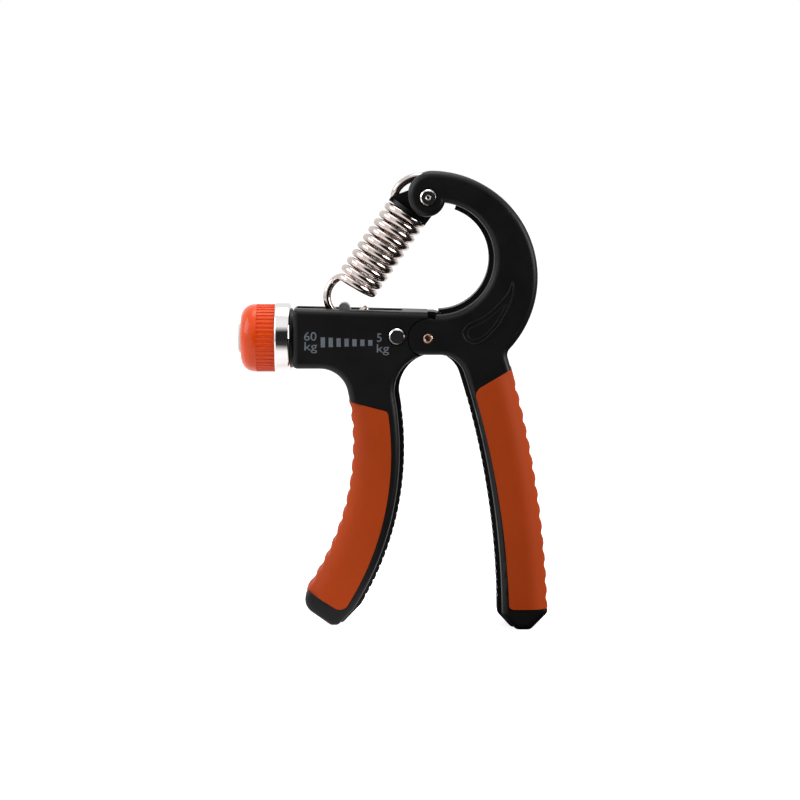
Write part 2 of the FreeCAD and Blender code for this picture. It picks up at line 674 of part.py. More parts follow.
def beside_tongue(sketch):
    """Space for the hinge ears: right of the housing's end, and round the hinge axis."""
    outline(sketch, [
        upright("0 - housing_end", -90), corner("top"),
        arc("0", "0", "knuckle_radius + knuckle_gap", 1), corner("low"),
        upright("0 - housing_end", -90), corner("low"),
        level("0 - slot_reach", 0), corner("right"),
        upright("slot_reach", 90), corner("top"),
        level("slot_reach", 180), corner("top"),
    ])


BLOCK_RIVET = ("block_rivet_x", "block_rivet_z")
LEFT_GRIP = (" - grip_proud", "", "", "", "grip_inner_corner")
LEFT_CORE = (" + grip_wall", " + core_reach", " - core_reach", " + core_reach", "grip_inner_corner")


def left_handle():
    body = new_body("left_handle")
    sketch = new_sketch(body, "left_edge")
    outline(sketch, left_handle_outline())
    shell = pad(body, "left_shell", sketch, "handle_width")
    edge_round(body, "left_rounds", shell)
    rib = new_sketch(body, "left_rib_edge")
    outline(rib, left_rib_outline())
    pad(body, "left_rib", rib, "lip_width")
    cut_sides(body, "left_ear_space", beside_tongue, "handle_width/2 - tongue_width/2")
    slot = new_sketch(body, "left_slot_edge")
    polygon(slot, [
        ("0 - slot_left", "0 - slot_floor"), ("0 - slot_right", "0 - slot_floor"),
        ("0 - slot_right", "slot_reach"), ("0 - slot_left", "slot_reach"),
    ])
    cut(body, "left_slot", slot, "slot_width")
    end_bore(body, "left_bore", "bush_radius", "0 - housing_left", "bush_depth")
    cross_hole(body, "left_hinge_hole", "hinge_bush_radius", "0", "0", "tongue_width")
    cross_hole(body, "left_rivet_hole", "block_rivet_radius", *BLOCK_RIVET, "handle_width")
    sink_heads(body, "left_sink", *BLOCK_RIVET)
    bed = new_sketch(body, "left_grip_bed_edge")
    outline(bed, left_grip_outline(*LEFT_GRIP))
    cut(body, "left_grip_bed", bed, "handle_width")
    core = new_sketch(body, "left_core_edge")
    outline(core, left_grip_outline(*LEFT_CORE))
    pad(body, "left_core", core, "core_width")
    notch = new_sketch(body, "left_notch_edge", x=LEFT_INNER_X, z="left_inner_z")
    spoke_circle(notch, "notch_radius", "left_inner_radius + notch_radius - notch_depth", "left_notch_start")
    first = cut(body, "left_notch", notch, "lip_width")
    repeat(body, "left_notches", first, notch, "left_notch_count", "notch_pitch", "left_inner_radius")
    return body


def left_grip():
    body = new_body("left_grip")
    sketch = new_sketch(body, "left_grip_edge")
    outline(sketch, left_grip_outline(*LEFT_GRIP))
    block = pad(body, "left_grip_block", sketch, "grip_width")
    outer_radius = "left_outer_radius - grip_proud"
    round_edges(body, "left_grip_rounds", block, "grip_round", along_curve("grip_width", outer_radius))
    core = new_sketch(body, "left_grip_core_edge")
    outline(core, left_grip_outline(*LEFT_CORE))
    cut(body, "left_grip_core", core, "core_width")
    valley = new_sketch(body, "left_valley_edge", x=LEFT_OUTER_X, z="left_outer_z")
    spoke_circle(valley, "rib_hollow", outer_radius + " - rib_hollow + rib_depth", "left_rib_start")
    first = cut(body, "left_valley", valley, "grip_width")
    repeat(body, "left_valleys", first, valley, "left_rib_count", "rib_pitch", outer_radius)
    return body


# Right handle: hinge ears, curved arm with its fork, and leg

def right_handle_outline():
    """Leg, arm and hinge ears; the inner edges stand back from the ribs."""
    return [
        level("0 - underside", 0), fillet("right_armpit", -1, "right"),
        arc("right_inner_x", "right_inner_z", "right_inner_radius + lip_depth", -1),
        fillet("toe_round", 1, "low"),
        slope("right_toe_x + lip_depth", "right_toe_z", "right_toe_slope"), fillet("toe_round", 1, "low"),
        level("0 - right_foot_bottom", 0), fillet("toe_round", 1, "low"),
        slope("right_heel_x", "right_heel_z", "right_heel_slope"), fillet("toe_round", 1, "right"),
        arc("right_outer_x", "right_outer_z", "right_outer_radius", 1), fillet("waist_round", -1, "right"),
        arc("arm_outer_x", "arm_outer_z", "arm_outer_radius", 1), fillet("ear_top_round", 1, "right"),
        arc("ear_x", "ear_z", "ear_radius", 1), corner("right"),
        arc("arm_inner_x", "arm_inner_z", "arm_inner_radius + lip_depth", -1), corner("low"),
        slope("throat_x", "throat_z", "throat_slope"), corner("top"),
        arc("0", "0", "knuckle_radius", 1), corner("left"),
    ]


def right_rib_outline():
    """Rib along the leg's inner edge, with its root inside the handle."""
    return [
        level("0 - underside + side_gap", 0), fillet("right_armpit", -1, "right"),
        arc("right_inner_x", "right_inner_z", "right_inner_radius", -1), fillet("toe_round", 1, "low"),
        slope("right_toe_x", "right_toe_z", "right_toe_slope"), fillet("toe_round", 1, "low"),
        level("0 - right_foot_bottom", 0), corner("low"),
        slope("right_toe_x + lip_depth + toe_round", "0 - right_foot_bottom", "right_root_slope"),
        corner("right"),
        level("0 - underside + rib_root", 180), corner("left"),
        upright("rib_end - rib_root", -90), corner("low"),
    ]


def arm_rib_outline():
    """Rib along the arm's inner edge, from the ears to the hinge."""
    return [
        arc("arm_inner_x", "arm_inner_z", "arm_inner_radius", -1), corner("low"),
        upright("throat_x + lip_depth/2", -90), corner("low"),
        arc("arm_inner_x", "arm_inner_z", "arm_inner_radius + lip_depth + rib_root", 1), corner("top"),
        upright("ear_x + ear_radius - rib_root", -90), corner("top"),
    ]


def right_grip_outline(outer, top, low, inner, rounds):
    """Edge of the right grip, or of the core inside it with each side moved."""
    return [
        slope("right_grip_top_x", "right_grip_top_z" + top, "right_grip_top_slope"), fillet(rounds, 1, "top"),
        arc("right_grip_x", "right_grip_z", "right_grip_radius" + inner, -1), fillet("grip_corner", 1, "low"),
        level("0 - right_grip_bottom" + low, 0), corner("right"),
        arc("right_outer_x", "right_outer_z", "right_outer_radius" + outer, 1), corner("top"),
    ]


RIGHT_GRIP = (" + grip_proud", "", "", "", "grip_inner_corner")
RIGHT_CORE = (" - grip_wall", " + core_reach", " - core_reach", " - core_reach", "grip_inner_corner")


def right_handle():
    body = new_body("right_handle")
    sketch = new_sketch(body, "right_edge")
    outline(sketch, right_handle_outline())
    shell = pad(body, "right_shell", sketch, "handle_width")
    edge_round(body, "right_rounds", shell)
    for name, chain in (("right_rib", right_rib_outline()), ("arm_rib", arm_rib_outline())):
        rib = new_sketch(body, name + "_edge")
        outline(rib, chain)
        pad(body, name, rib, "lip_width")
    cross_hole(body, "right_tongue_slot", "tongue_radius + knuckle_gap", "0", "0",
               "tongue_width + side_gap + side_gap")
    cross_hole(body, "right_fork", "fork_radius", "0", "spring_pin_z", "fork_width")
    cross_hole(body, "right_hinge_hole", "hinge_rivet_radius + running_gap", "0", "0", "handle_width")
    cross_hole(body, "right_pin_hole", "spring_pin_radius + running_gap", "0", "spring_pin_z", "handle_width")
    sink_heads(body, "right_sink", "0", "spring_pin_z")
    bed = new_sketch(body, "right_grip_bed_edge")
    outline(bed, right_grip_outline(*RIGHT_GRIP))
    cut(body, "right_grip_bed", bed, "handle_width")
    core = new_sketch(body, "right_core_edge")
    outline(core, right_grip_outline(*RIGHT_CORE))
    pad(body, "right_core", core, "core_width")
    notch = new_sketch(body, "right_notch_edge", x="right_inner_x", z="right_inner_z")
    notch_reach = "right_inner_radius - notch_radius + notch_depth"
    spoke_circle(notch, "notch_radius", notch_reach, "right_notch_start")
    first = cut(body, "right_notch", notch, "lip_width")
    repeat(body, "right_notches", first, notch, "right_notch_count", "notch_pitch", "right_inner_radius")
    return body


def right_grip():
    body = new_body("right_grip")
    sketch = new_sketch(body, "right_grip_edge")
    outline(sketch, right_grip_outline(*RIGHT_GRIP))
    block = pad(body, "right_grip_block", sketch, "grip_width")
    outer_radius = "right_outer_radius + grip_proud"
    round_edges(body, "right_grip_rounds", block, "grip_round", along_curve("grip_width", outer_radius))
    core = new_sketch(body, "right_grip_core_edge")
    outline(core, right_grip_outline(*RIGHT_CORE))
    cut(body, "right_grip_core", core, "core_width")
    valley = new_sketch(body, "right_valley_edge", x="right_outer_x", z="right_outer_z")
    spoke_circle(valley, "rib_hollow", outer_radius + " + rib_hollow - rib_depth", "right_rib_start")
    first = cut(body, "right_valley", valley, "grip_width")
    repeat(body, "right_valleys", first, valley, "right_rib_count", "rib_pitch", outer_radius)
    return body


# Pieces that turn about the screw's axis, as places along it and radii

FLANGE_LEFT = "0 - housing_left - flange_thickness"
HUB_FACE = FLANGE_LEFT + " - end_gap - washer_thickness"
RING_RIGHT = FLANGE_LEFT + " - side_gap"
RING_LEFT = RING_RIGHT + " - ring_width"
KNOB_END = RING_LEFT + " - knob_length"
CAP_SEAT = KNOB_END + " + cap_seat"
HEAD_SEAT = CAP_SEAT + " + screw_head_height + end_gap"
SCREW_START = HEAD_SEAT + " + screw_web"
COLLAR_LEFT = "0 - housing_left + bush_depth + end_gap"
BLOCK_LEFT = "0 - slot_right - block_length"


def ring(name, left, right, inner, outer):
    body, _ = turned_piece(name, [(left, inner), (right, inner), (right, outer), (left, outer)],
                           z="pivot_z + screw_z")
    return body


def knob_body():
    body, solid = turned_piece("knob_body", [
        (HUB_FACE, "journal_radius"), (HUB_FACE, "hub_radius"), (RING_LEFT, "hub_radius"),
        (RING_LEFT, "knob_radius"), (KNOB_END, "knob_radius"), (KNOB_END, "cap_radius"),
        (CAP_SEAT, "cap_radius"), (CAP_SEAT, "screw_head_radius + side_gap"),
        (HEAD_SEAT, "screw_head_radius + side_gap"), (HEAD_SEAT, "screw_shank_radius + side_gap"),
        (SCREW_START, "screw_shank_radius + side_gap"), (SCREW_START, "journal_radius"),
    ], z="pivot_z + screw_z")
    x, radius = total(KNOB_END), total("knob_radius")
    round_edges(body, "knob_round_edge", solid, "knob_round", circle_at(x, radius))
    flute = new_sketch(body, "flute_edge", "YZ_Plane")
    lift_sketch(flute, RING_LEFT)
    spoke_circle(flute, "flute_radius", "knob_radius + flute_radius - flute_depth", "90")
    first = cut(body, "flute", flute, "flute_length", middle=False)
    repeat(body, "flutes", first, flute, "flute_count", "flute_pitch", "knob_radius")
    return body


def knob_cap():
    face = KNOB_END + " - cap_rise"
    body, solid = turned_piece("knob_cap", [
        (CAP_SEAT, "0"), (CAP_SEAT, "cap_radius"), (face, "cap_radius"), (face, "0"),
    ], z="pivot_z + screw_z")
    round_edges(body, "cap_round_edge", solid, "cap_round", circle_at(total(face), total("cap_radius")))
    return body


def knob_ring():
    body = ring("knob_ring", RING_LEFT, RING_RIGHT, "hub_radius", "ring_radius")
    for name, x in (("ring_left_round", RING_LEFT), ("ring_right_round", RING_RIGHT)):
        round_edges(body, name, body.Tip, "ring_round", circle_at(total(x), total("ring_radius")))
    return body


def knob_fixing_screw():
    top = HEAD_SEAT + " - screw_head_height"
    tip = SCREW_START + " + screw_shank_length"
    return turned_piece("knob_fixing_screw", [
        (top, "0"), (top, "screw_head_radius"), (HEAD_SEAT, "screw_head_radius"),
        (HEAD_SEAT, "screw_shank_radius"), (tip, "screw_shank_radius"), (tip, "0"),
    ], z="pivot_z + screw_z")[0]


def adjusting_screw():
    thread_start = COLLAR_LEFT + " + collar_thickness"
    shoulder = BLOCK_LEFT + " - end_gap"
    tip = shoulder + " + tail_length"
    hole = SCREW_START + " + screw_shank_length"
    return turned_piece("adjusting_screw", [
        (SCREW_START, "screw_shank_radius"), (SCREW_START, "journal_radius"),
        (thread_start, "journal_radius"), (thread_start, "thread_radius"),
        (shoulder, "thread_radius"), (shoulder, "tail_radius"), (tip, "tail_radius"), (tip, "0"),
        (hole, "0"), (hole, "screw_shank_radius"),
    ], z="pivot_z + screw_z")[0]


def end_bush():
    face, inside = "0 - housing_left", "0 - housing_left + bush_depth"
    bore = "journal_radius + running_gap"
    return turned_piece("end_bush", [
        (FLANGE_LEFT, bore), (FLANGE_LEFT, "flange_radius"), (face, "flange_radius"),
        (face, "bush_radius"), (inside, "bush_radius"), (inside, bore),
    ], z="pivot_z + screw_z")[0]


# Carriage on the screw, and the block that carries the screw's inner end

def carriage():
    body = new_body("carriage")
    width = "slot_width - side_gap - side_gap"
    block = new_sketch(body, "carriage_block_edge")
    left, right = "carriage_x - carriage_length/2", "carriage_x + carriage_length/2"
    polygon(block, [(left, "0 - carriage_bottom"), (right, "0 - carriage_bottom"),
                    (right, "carriage_top"), (left, "carriage_top")])
    pad(body, "carriage_block", block, width)
    cheek = new_sketch(body, "cheek_edge")
    polygon(cheek, [(left, "carriage_top"), (right, "carriage_top"),
                    ("carriage_x + cheek_radius", "carriage_z"), ("carriage_x - cheek_radius", "carriage_z")])
    pad(body, "cheeks", cheek, width)
    end = new_sketch(body, "cheek_end_edge")
    circle(end, "cheek_radius", "carriage_x", "carriage_z")
    pad(body, "cheek_ends", end, width)
    gap = new_sketch(body, "cheek_gap_edge")
    top = "carriage_z + cheek_radius + side_gap"
    before, beyond = "carriage_x - carriage_length", "carriage_x + carriage_length"
    polygon(gap, [(before, "carriage_top"), (beyond, "carriage_top"), (beyond, top), (before, top)])
    cut(body, "cheek_space", gap, "cheek_gap")
    cross_hole(body, "hook_pin_hole", "hook_pin_radius", "carriage_x", "carriage_z", "slot_width")
    end_bore(body, "carriage_bore", "thread_radius + running_gap", left, "carriage_length")
    return body


def bearing_block():
    body = new_body("bearing_block")
    edge = new_sketch(body, "bearing_block_edge")
    polygon(edge, [(BLOCK_LEFT, "0 - slot_floor"), ("0 - slot_right", "0 - slot_floor"),
                   ("0 - slot_right", "block_top"), (BLOCK_LEFT, "block_top")])
    pad(body, "bearing_block_solid", edge, "slot_width")
    cross_hole(body, "bearing_rivet_hole", "block_rivet_radius", *BLOCK_RIVET, "slot_width")
    end_bore(body, "bearing_bore", "tail_radius + running_gap", BLOCK_LEFT, "tail_length")
    return body


# Rivets, pins and the hinge bush, which lie from front to back

def cross_piece(name, x, z, corners):
    """A round piece from front to back, from corners given as radius and place along it."""
    body = new_body(name, x="pivot_x" + x, z="pivot_z" + z)
    sketch = new_sketch(body, name + "_profile", "XY_Plane")
    polygon(sketch, corners)
    revolve(body, name + "_turned", sketch, "V_Axis")
    return body


def rivet_head(seat, out, back, shank):
    """Corners of a dished head on its seat; out and back are the signs of its two directions."""
    edge, top = f"{seat} {out} rivet_head_height/2", f"{seat} {out} rivet_head_height"
    dish = f"{top} {back} rivet_dish_depth"
    return [("0", dish), ("rivet_dish_radius", dish), ("rivet_dish_radius", top),
            ("rivet_head_radius - rivet_head_height/2", top), ("rivet_head_radius", edge),
            ("rivet_head_radius", seat), (shank, seat)]


def headed_rivet(name, x, z, shank):
    """A rivet whose dished heads stand in the counterbores of both faces."""
    far = rivet_head("handle_width/2 - rivet_sink", "+", "-", shank)
    near = rivet_head("rivet_sink - handle_width/2", "-", "+", shank)
    return cross_piece(name, x, z, far + near[::-1])


def carriage_pin():
    half = "slot_width/2 - side_gap"
    back = "0 - slot_width/2 + side_gap"
    return cross_piece("carriage_pin", " + carriage_x", " + carriage_z", [
        ("0", back), ("hook_pin_radius", back), ("hook_pin_radius", half), ("0", half)])


def hinge_rivet():
    end, back = "handle_width/2 + hinge_rivet_proud", "0 - handle_width/2 - hinge_rivet_proud"
    floor, back_floor = end + " - hinge_rivet_hollow", back + " + hinge_rivet_hollow"
    return cross_piece("hinge_rivet", "", "", [
        ("0", back_floor), ("hinge_rivet_bore", back_floor), ("hinge_rivet_bore", back),
        ("hinge_rivet_radius", back), ("hinge_rivet_radius", end), ("hinge_rivet_bore", end),
        ("hinge_rivet_bore", floor), ("0", floor)])


def hinge_bush():
    inner = "hinge_rivet_radius + running_gap"
    front, back = "0 - tongue_width/2", "tongue_width/2"
    return cross_piece("hinge_bush", "", "", [
        (inner, front), ("hinge_bush_radius", front), ("hinge_bush_radius", back), (inner, back)])


# Extension spring: one wire from the lower hook through the coil to the upper hook.
# Its frame starts at the rivet between the ears, x across the spring and z along it.

def bend(start, heading, end):
    """The arc that leaves start on its heading and arrives at end, with its radius."""
    chord = end - start
    ahead = Vector(chord).normalize()
    aside = heading - ahead * heading.dot(ahead)
    half_turn = math.atan2(aside.Length, heading.dot(ahead))
    rise = chord.Length / 2 * math.tan(half_turn / 2)
    middle = start + chord * 0.5 + Vector(aside).normalize() * rise
    return Part.Arc(start, middle, end).toShape(), chord.Length / 2 / math.sin(half_turn)


def biarc(start, start_heading, end, end_heading):
    """Two arcs that join two places and headings, and their radii."""
    chord = end - start
    both = start_heading + end_heading
    spread = 2 * (1 - start_heading.dot(end_heading))
    along = chord.dot(both)
    reach = (math.sqrt(along ** 2 + spread * chord.dot(chord)) - along) / spread
    joint = (start + end + (start_heading - end_heading) * reach) * 0.5
    ahead = (end - end_heading * reach - start - start_heading * reach).normalize()
    return [bend(start, start_heading, joint), bend(joint, ahead, end)]


TOP_EDGES = 13  # the last turn's eight arcs, the bend's two, the hook's two and the tip


def coil_point(turns):
    """Place and heading on the coil, a number of turns after its start on the left."""
    angle = math.pi + 2 * math.pi * turns
    radius, pitch = total("coil_radius"), total("coil_pitch")
    height = total("coil_start - hook_reach") + pitch * turns
    place_ = Vector(radius * math.cos(angle) - total("axis_offset"), radius * math.sin(angle), height)
    heading = Vector(-radius * math.sin(angle), radius * math.cos(angle), pitch / (2 * math.pi))
    return place_, heading.normalize()


def round_arc(centre, radius, start, stop):
    """An arc in the plane of the hooks; angles in degrees from x towards z."""
    points = [centre + Vector(math.cos(math.radians(a)), 0, math.sin(math.radians(a))) * radius
              for a in (start, (start + stop) / 2, stop)]
    return Part.Arc(*points).toShape(), radius


def spring_path():
    """Edges of the wire's middle line with their radii, from the lower tip to the upper one."""
    straight = total("hook_tip")
    up = Vector(0, 0, 1)
    low_centre = Vector(-total("axis_offset"), 0, -total("hook_reach"))
    low_radius, wrap = total("hook_radius"), total("hook_wrap")
    tip_angle = math.radians(180 + wrap)
    tip_end = low_centre + Vector(math.cos(tip_angle), 0, math.sin(tip_angle)) * low_radius
    tip_heading = Vector(math.sin(tip_angle), 0, -math.cos(tip_angle))
    path = [(Part.LineSegment(tip_end - tip_heading * straight, tip_end).toShape(), None)]
    path.append(round_arc(low_centre, low_radius, 180 + wrap, 180 + wrap / 2))
    path.append(round_arc(low_centre, low_radius, 180 + wrap / 2, 180))
    hook_top = low_centre + Vector(-low_radius, 0, 0)
    turns, clear = total("coil_turns"), total("hook_bend") / (2 * math.pi * total("coil_radius"))
    first, first_heading = coil_point(clear)
    bend_start = Vector(hook_top.x, 0, first.z - total("hook_bend"))
    path.append((Part.LineSegment(hook_top, bend_start).toShape(), None))
    path += biarc(bend_start, up, first, first_heading)
    quarters = 4 * int(turns)
    span = (turns - 2 * clear) / quarters
    for i in range(quarters):
        path += biarc(*coil_point(clear + i * span), *coil_point(clear + (i + 1) * span))
    top_centre = Vector(-total("top_hook_x"), 0, -total("top_hook_z"))
    top_radius, top_wrap = total("top_hook_radius"), total("top_hook_wrap")
    top_start = top_centre + Vector(-top_radius, 0, 0)
    path += biarc(*coil_point(turns - clear), top_start, up)
    path.append(round_arc(top_centre, top_radius, 180, 180 - top_wrap / 2))
    path.append(round_arc(top_centre, top_radius, 180 - top_wrap / 2, 180 - top_wrap))
    end_angle = math.radians(180 - top_wrap)
    end = top_centre + Vector(math.cos(end_angle), 0, math.sin(end_angle)) * top_radius
    end_heading = Vector(math.sin(end_angle), 0, -math.cos(end_angle))
    path.append((Part.LineSegment(end, end + end_heading * straight).toShape(), None))
    return path


def tube(path, radius):
    """A round tube along the path."""
    edges = [edge for edge, _ in path]
    first = edges[0]
    start = first.valueAt(first.FirstParameter)
    heading = first.tangentAt(first.FirstParameter)
    profile = Part.Wire(Part.Circle(start, heading, radius).toShape())
    return Part.Wire(edges).makePipeShell([profile], True, False)


def least_gap(path, radius):
    """The least gap of the tube to itself, on points half a millimetre apart."""
    step, points = 0.5, []
    for edge, _ in path:
        steps = max(2, round(edge.Length / step))
        points += [edge.valueAt(edge.FirstParameter + (edge.LastParameter - edge.FirstParameter) * i / steps)
                   for i in range(steps)]
    apart = round(8 * radius / step)
    least = min(point.distanceToPoint(other)
                for i, point in enumerate(points) for other in points[i + apart:])
    return least - 2 * radius


def spring_frame():
    """The rivet between the ears, with z up along the spring."""
    return Placement(Vector(total("pivot_x"), 0, total("pivot_z + spring_pin_z")),
                     Rotation(Vector(0, 1, 0), 90 - total("spring_slope")))


def spring():
    path = spring_path()
    tightest = min(radius for _, radius in path if radius)
    gap = least_gap(path, total("wire_radius"))
    print(f"spring wire: least gap {gap:.2f} mm, tightest bend {tightest:.2f} mm")
    feature = doc.addObject("Part::Feature", "spring")
    feature.Shape = tube(path, total("wire_radius"))
    feature.Placement = spring_frame()
    return feature


def spring_seat():
    """Block on the rivet that caps the coil; the wire lies in a groove of it."""
    body = doc.addObject("PartDesign::Body", "seat_block")
    body.Placement = spring_frame()
    body.setExpression("Placement.Base.x", bound("pivot_x"))
    body.setExpression("Placement.Base.z", bound("pivot_z + spring_pin_z"))
    body.setExpression("Placement.Rotation.Angle", "90 deg - Sizes.spring_slope * 1 deg")
    hub = new_sketch(body, "seat_hub_edge")
    circle(hub, "seat_hub_radius")
    pad(body, "seat_hub", hub, "seat_width")
    low, disc_top = "0 - seat_disc_reach", "seat_disc_thickness - seat_disc_reach"
    web = new_sketch(body, "seat_web_edge")
    polygon(web, [("0 - axis_offset - seat_disc_radius", low), ("seat_disc_radius - axis_offset", low),
                  ("seat_hub_radius", "0"), ("0 - seat_web_left", "seat_web_top"),
                  ("0 - axis_offset - seat_disc_radius", disc_top)])
    pad(body, "seat_web", web, "seat_width")
    disc = new_sketch(body, "seat_disc_edge", x="0 - axis_offset", z="0")
    polygon(disc, [("0", low + " - seat_plug_length"), ("seat_plug_radius", low + " - seat_plug_length"),
                   ("seat_plug_radius", low), ("seat_disc_radius", low), ("seat_disc_radius", disc_top),
                   ("0", disc_top)])
    revolve(body, "seat_disc", disc, "V_Axis")
    cross_hole(body, "seat_bore", "spring_pin_radius + running_gap", "0", "0", "seat_width")
    groove = doc.addObject("Part::Feature", "seat_groove")
    groove.Shape = tube(spring_path()[-TOP_EDGES:], total("wire_radius + seat_gap"))
    groove.Placement = spring_frame()
    seat = doc.addObject("Part::Cut", "spring_seat")
    seat.Base = body
    seat.Tool = groove
    return seat


# Build, check and write every piece

pieces = [
    left_handle(), left_grip(), right_handle(), right_grip(), hinge_rivet(), hinge_bush(),
    headed_rivet("upper_rivet", "", " + spring_pin_z", "spring_pin_radius"), spring_seat(), spring(),
    carriage(), carriage_pin(), adjusting_screw(), end_bush(), knob_body(), knob_ring(), knob_cap(),
    knob_fixing_screw(),
    ring("thrust_washer", HUB_FACE, HUB_FACE + " + washer_thickness", "journal_radius", "washer_radius"),
    ring("retaining_ring", COLLAR_LEFT, COLLAR_LEFT + " + collar_thickness", "journal_radius",
         "collar_radius"),
    bearing_block(),
    headed_rivet("block_rivet", " + block_rivet_x", " + block_rivet_z", "block_rivet_radius"),
]
doc.recompute()

faults = [f"{item.Label}: {item.State}" for item in doc.Objects if {"Invalid", "Error"} & set(item.State)]
faults += [f"{item.Label}: not fully held" for item in doc.Objects
           if item.TypeId == "Sketcher::SketchObject" and not item.FullyConstrained]
faults += [f"{piece.Label}: no valid solid" for piece in pieces
           if piece.Shape.isNull() or not piece.Shape.isValid() or len(piece.Shape.Solids) != 1]
if faults:
    raise RuntimeError("; ".join(faults))

os.makedirs("parts", exist_ok=True)
for piece in pieces:
    piece.Shape.exportStep(f"parts/{piece.Label}.step")
    print(f"{piece.Label}: {piece.Shape.Volume:.1f} mm3")
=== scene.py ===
import math

import bpy
import numpy as np
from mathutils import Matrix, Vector


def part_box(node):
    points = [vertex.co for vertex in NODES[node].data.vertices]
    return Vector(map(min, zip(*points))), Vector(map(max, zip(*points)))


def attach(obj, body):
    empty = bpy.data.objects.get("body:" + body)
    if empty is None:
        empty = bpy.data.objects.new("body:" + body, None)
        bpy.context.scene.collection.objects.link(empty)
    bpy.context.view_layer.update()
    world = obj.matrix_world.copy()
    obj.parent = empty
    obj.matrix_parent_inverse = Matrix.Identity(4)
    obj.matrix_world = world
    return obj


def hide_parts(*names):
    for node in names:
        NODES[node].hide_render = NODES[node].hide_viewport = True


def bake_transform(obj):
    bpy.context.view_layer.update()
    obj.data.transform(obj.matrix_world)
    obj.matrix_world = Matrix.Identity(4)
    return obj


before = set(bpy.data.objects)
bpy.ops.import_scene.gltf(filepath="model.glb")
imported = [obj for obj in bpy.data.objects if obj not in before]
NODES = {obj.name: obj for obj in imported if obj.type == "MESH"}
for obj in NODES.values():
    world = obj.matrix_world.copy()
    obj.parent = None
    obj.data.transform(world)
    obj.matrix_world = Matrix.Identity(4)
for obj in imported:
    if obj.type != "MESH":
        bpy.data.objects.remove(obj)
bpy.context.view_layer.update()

bl_info = {
    "name": "Hand Grip Strengthener Dressing",
    "version": (1, 0, 0),
    "blender": (4, 5, 0),
    "location": "View3D > Sidebar > Hand Grip",
    "description": "Finishes, spring and scale print for an adjustable hand grip strengthener",
    "category": "Object",
}

MM = 0.001
# The two unlit ends of the studio: the way towards each from the part, and its half angle.
DARK_ENDS = (
    ((0.292, -0.956, 0.0), math.radians(38.0)),
    ((0.902, -0.351, -0.251), math.radians(60.0)),
)
# Where an unlit end begins and ceases to fade, as shares of its half angle.
DARK_FADE = (0.8, 1.2)
# The soft lights: name, place in metres and power in watts.
LAMPS = (
    ("key_light", (-0.72, -0.16, 0.50), 2.6),
    ("side_light", (0.74, -0.34, 0.34), 5.6),
    ("top_light", (0.05, 0.10, 0.90), 2.2),
)
# Width of each soft light, and how far the camera sees, in metres.
LAMP_WIDTH, CAMERA_REACH = 0.5, 30.0
# The floor: its edges in metres, the number of its corners along x and y, its two tones of
# paper, its painted shade in the unlit ends, and how much it glows to the camera and in a mirror.
FLOOR_X, FLOOR_Y, FLOOR_CORNERS = (-4.0, 4.0), (-3.0, 6.0), (17, 19)
FLOOR_PAPER = ((0.88, 0.88, 0.88), (0.9, 0.9, 0.9))
FLOOR_PAINTED_SHADE = (0.012, 0.014, 0.014, 1.0)
FLOOR_GLOW, FLOOR_GLEAM = 0.75, 0.3
WHITE = (1.0, 1.0, 1.0, 1.0)
# Noise keeps to the middle of its range from 0 to 1; this is the part of it that is used.
NOISE_LOW, NOISE_HIGH = 0.3, 0.7
# The hinge and the upper rivet, as x and z in mm.
HINGE, UPPER_RIVET = (12.1, 101.9), (12.1, 150.5)
# The upper rivet carries the spring's own frame: x and z lie in the plane of the handles.
SPRING_ORIGIN = Vector((UPPER_RIVET[0], 0.0, UPPER_RIVET[1])) * MM
SPRING_TILT = math.radians(35.0)
# The lower hook: how far its middle and the top of its straight wire lie under the coil's
# foot, in mm, and the two angles of its arc. The upper hook: its middle in mm, and its arc.
LOW_HOOK_DROP, LOW_WIRE_DROP, LOW_HOOK_ARC = 4.4, 4.3, (345.0, 180.0)
TOP_HOOK_MIDDLE, TOP_HOOK_ARC = (-0.85, 0.0, -3.7), (180.0, 68.0)
# Points of the coil, of each hook's arc and of each cubic before the wire is resampled.
COIL_POINTS, LOW_POINTS, TOP_POINTS, JOIN_POINTS = 720, 60, 50, 14
# Length of wire between two rings of its mesh, and the rounding of its cut ends, in mm.
RING_STEP, WIRE_ROUND = 0.42, 0.35
# The printed words: piece, setting, left edge and foot in mm, and how much wider it is drawn.
SCALE_WORDS = (
    ("scale_high_load", "high_load", -30.9, 101.25, 1.08),
    ("scale_high_unit", "unit_word", -30.9, 97.85, 1.22),
    ("scale_low_load", "low_load", -5.8, 100.85, 1.0),
    ("scale_low_unit", "unit_word", -5.9, 97.15, 1.18),
)
# Height of a figure as a share of the type's size, and the thickening of its strokes in mm.
FIGURE_SHARE, STROKE_OFFSET = 0.72, 0.02
# The bars in mm: first left edge and the run to the last one, width, height of the middle
# and half height, each with its fall from the first bar to the last.
BAR_LEFT, BAR_RUN, BAR_WIDTH = -25.0, 16.4, 1.5
BAR_MIDDLE, BAR_MIDDLE_FALL = 100.65, 0.2
BAR_HALF, BAR_HALF_FALL = 1.75, 0.75
# The ridges of the leaf: half width and height in mm, points along each and round each.
RIM_SIZE, VEIN_SIZE = (0.30, 0.15), (0.22, 0.11)
RIDGE_POINTS, RIDGE_SIDES = 240, 12
# The eyelets in mm: piece, rivet, depth in front of the middle, radius, half thickness, and
# the finish and the body of each.
EYELETS = (
    ("hinge_eyelet_", HINGE, 11.5, 1.3, 0.34, "brass_rivet", "fixed_side"),
    ("upper_eyelet_", UPPER_RIVET, 11.35, 0.75, 0.18, "chrome_trim", "moving_side"),
)
EYELET_POINTS, EYELET_SIDES = 48, 16


# ---------------------------------------------------------------- settings


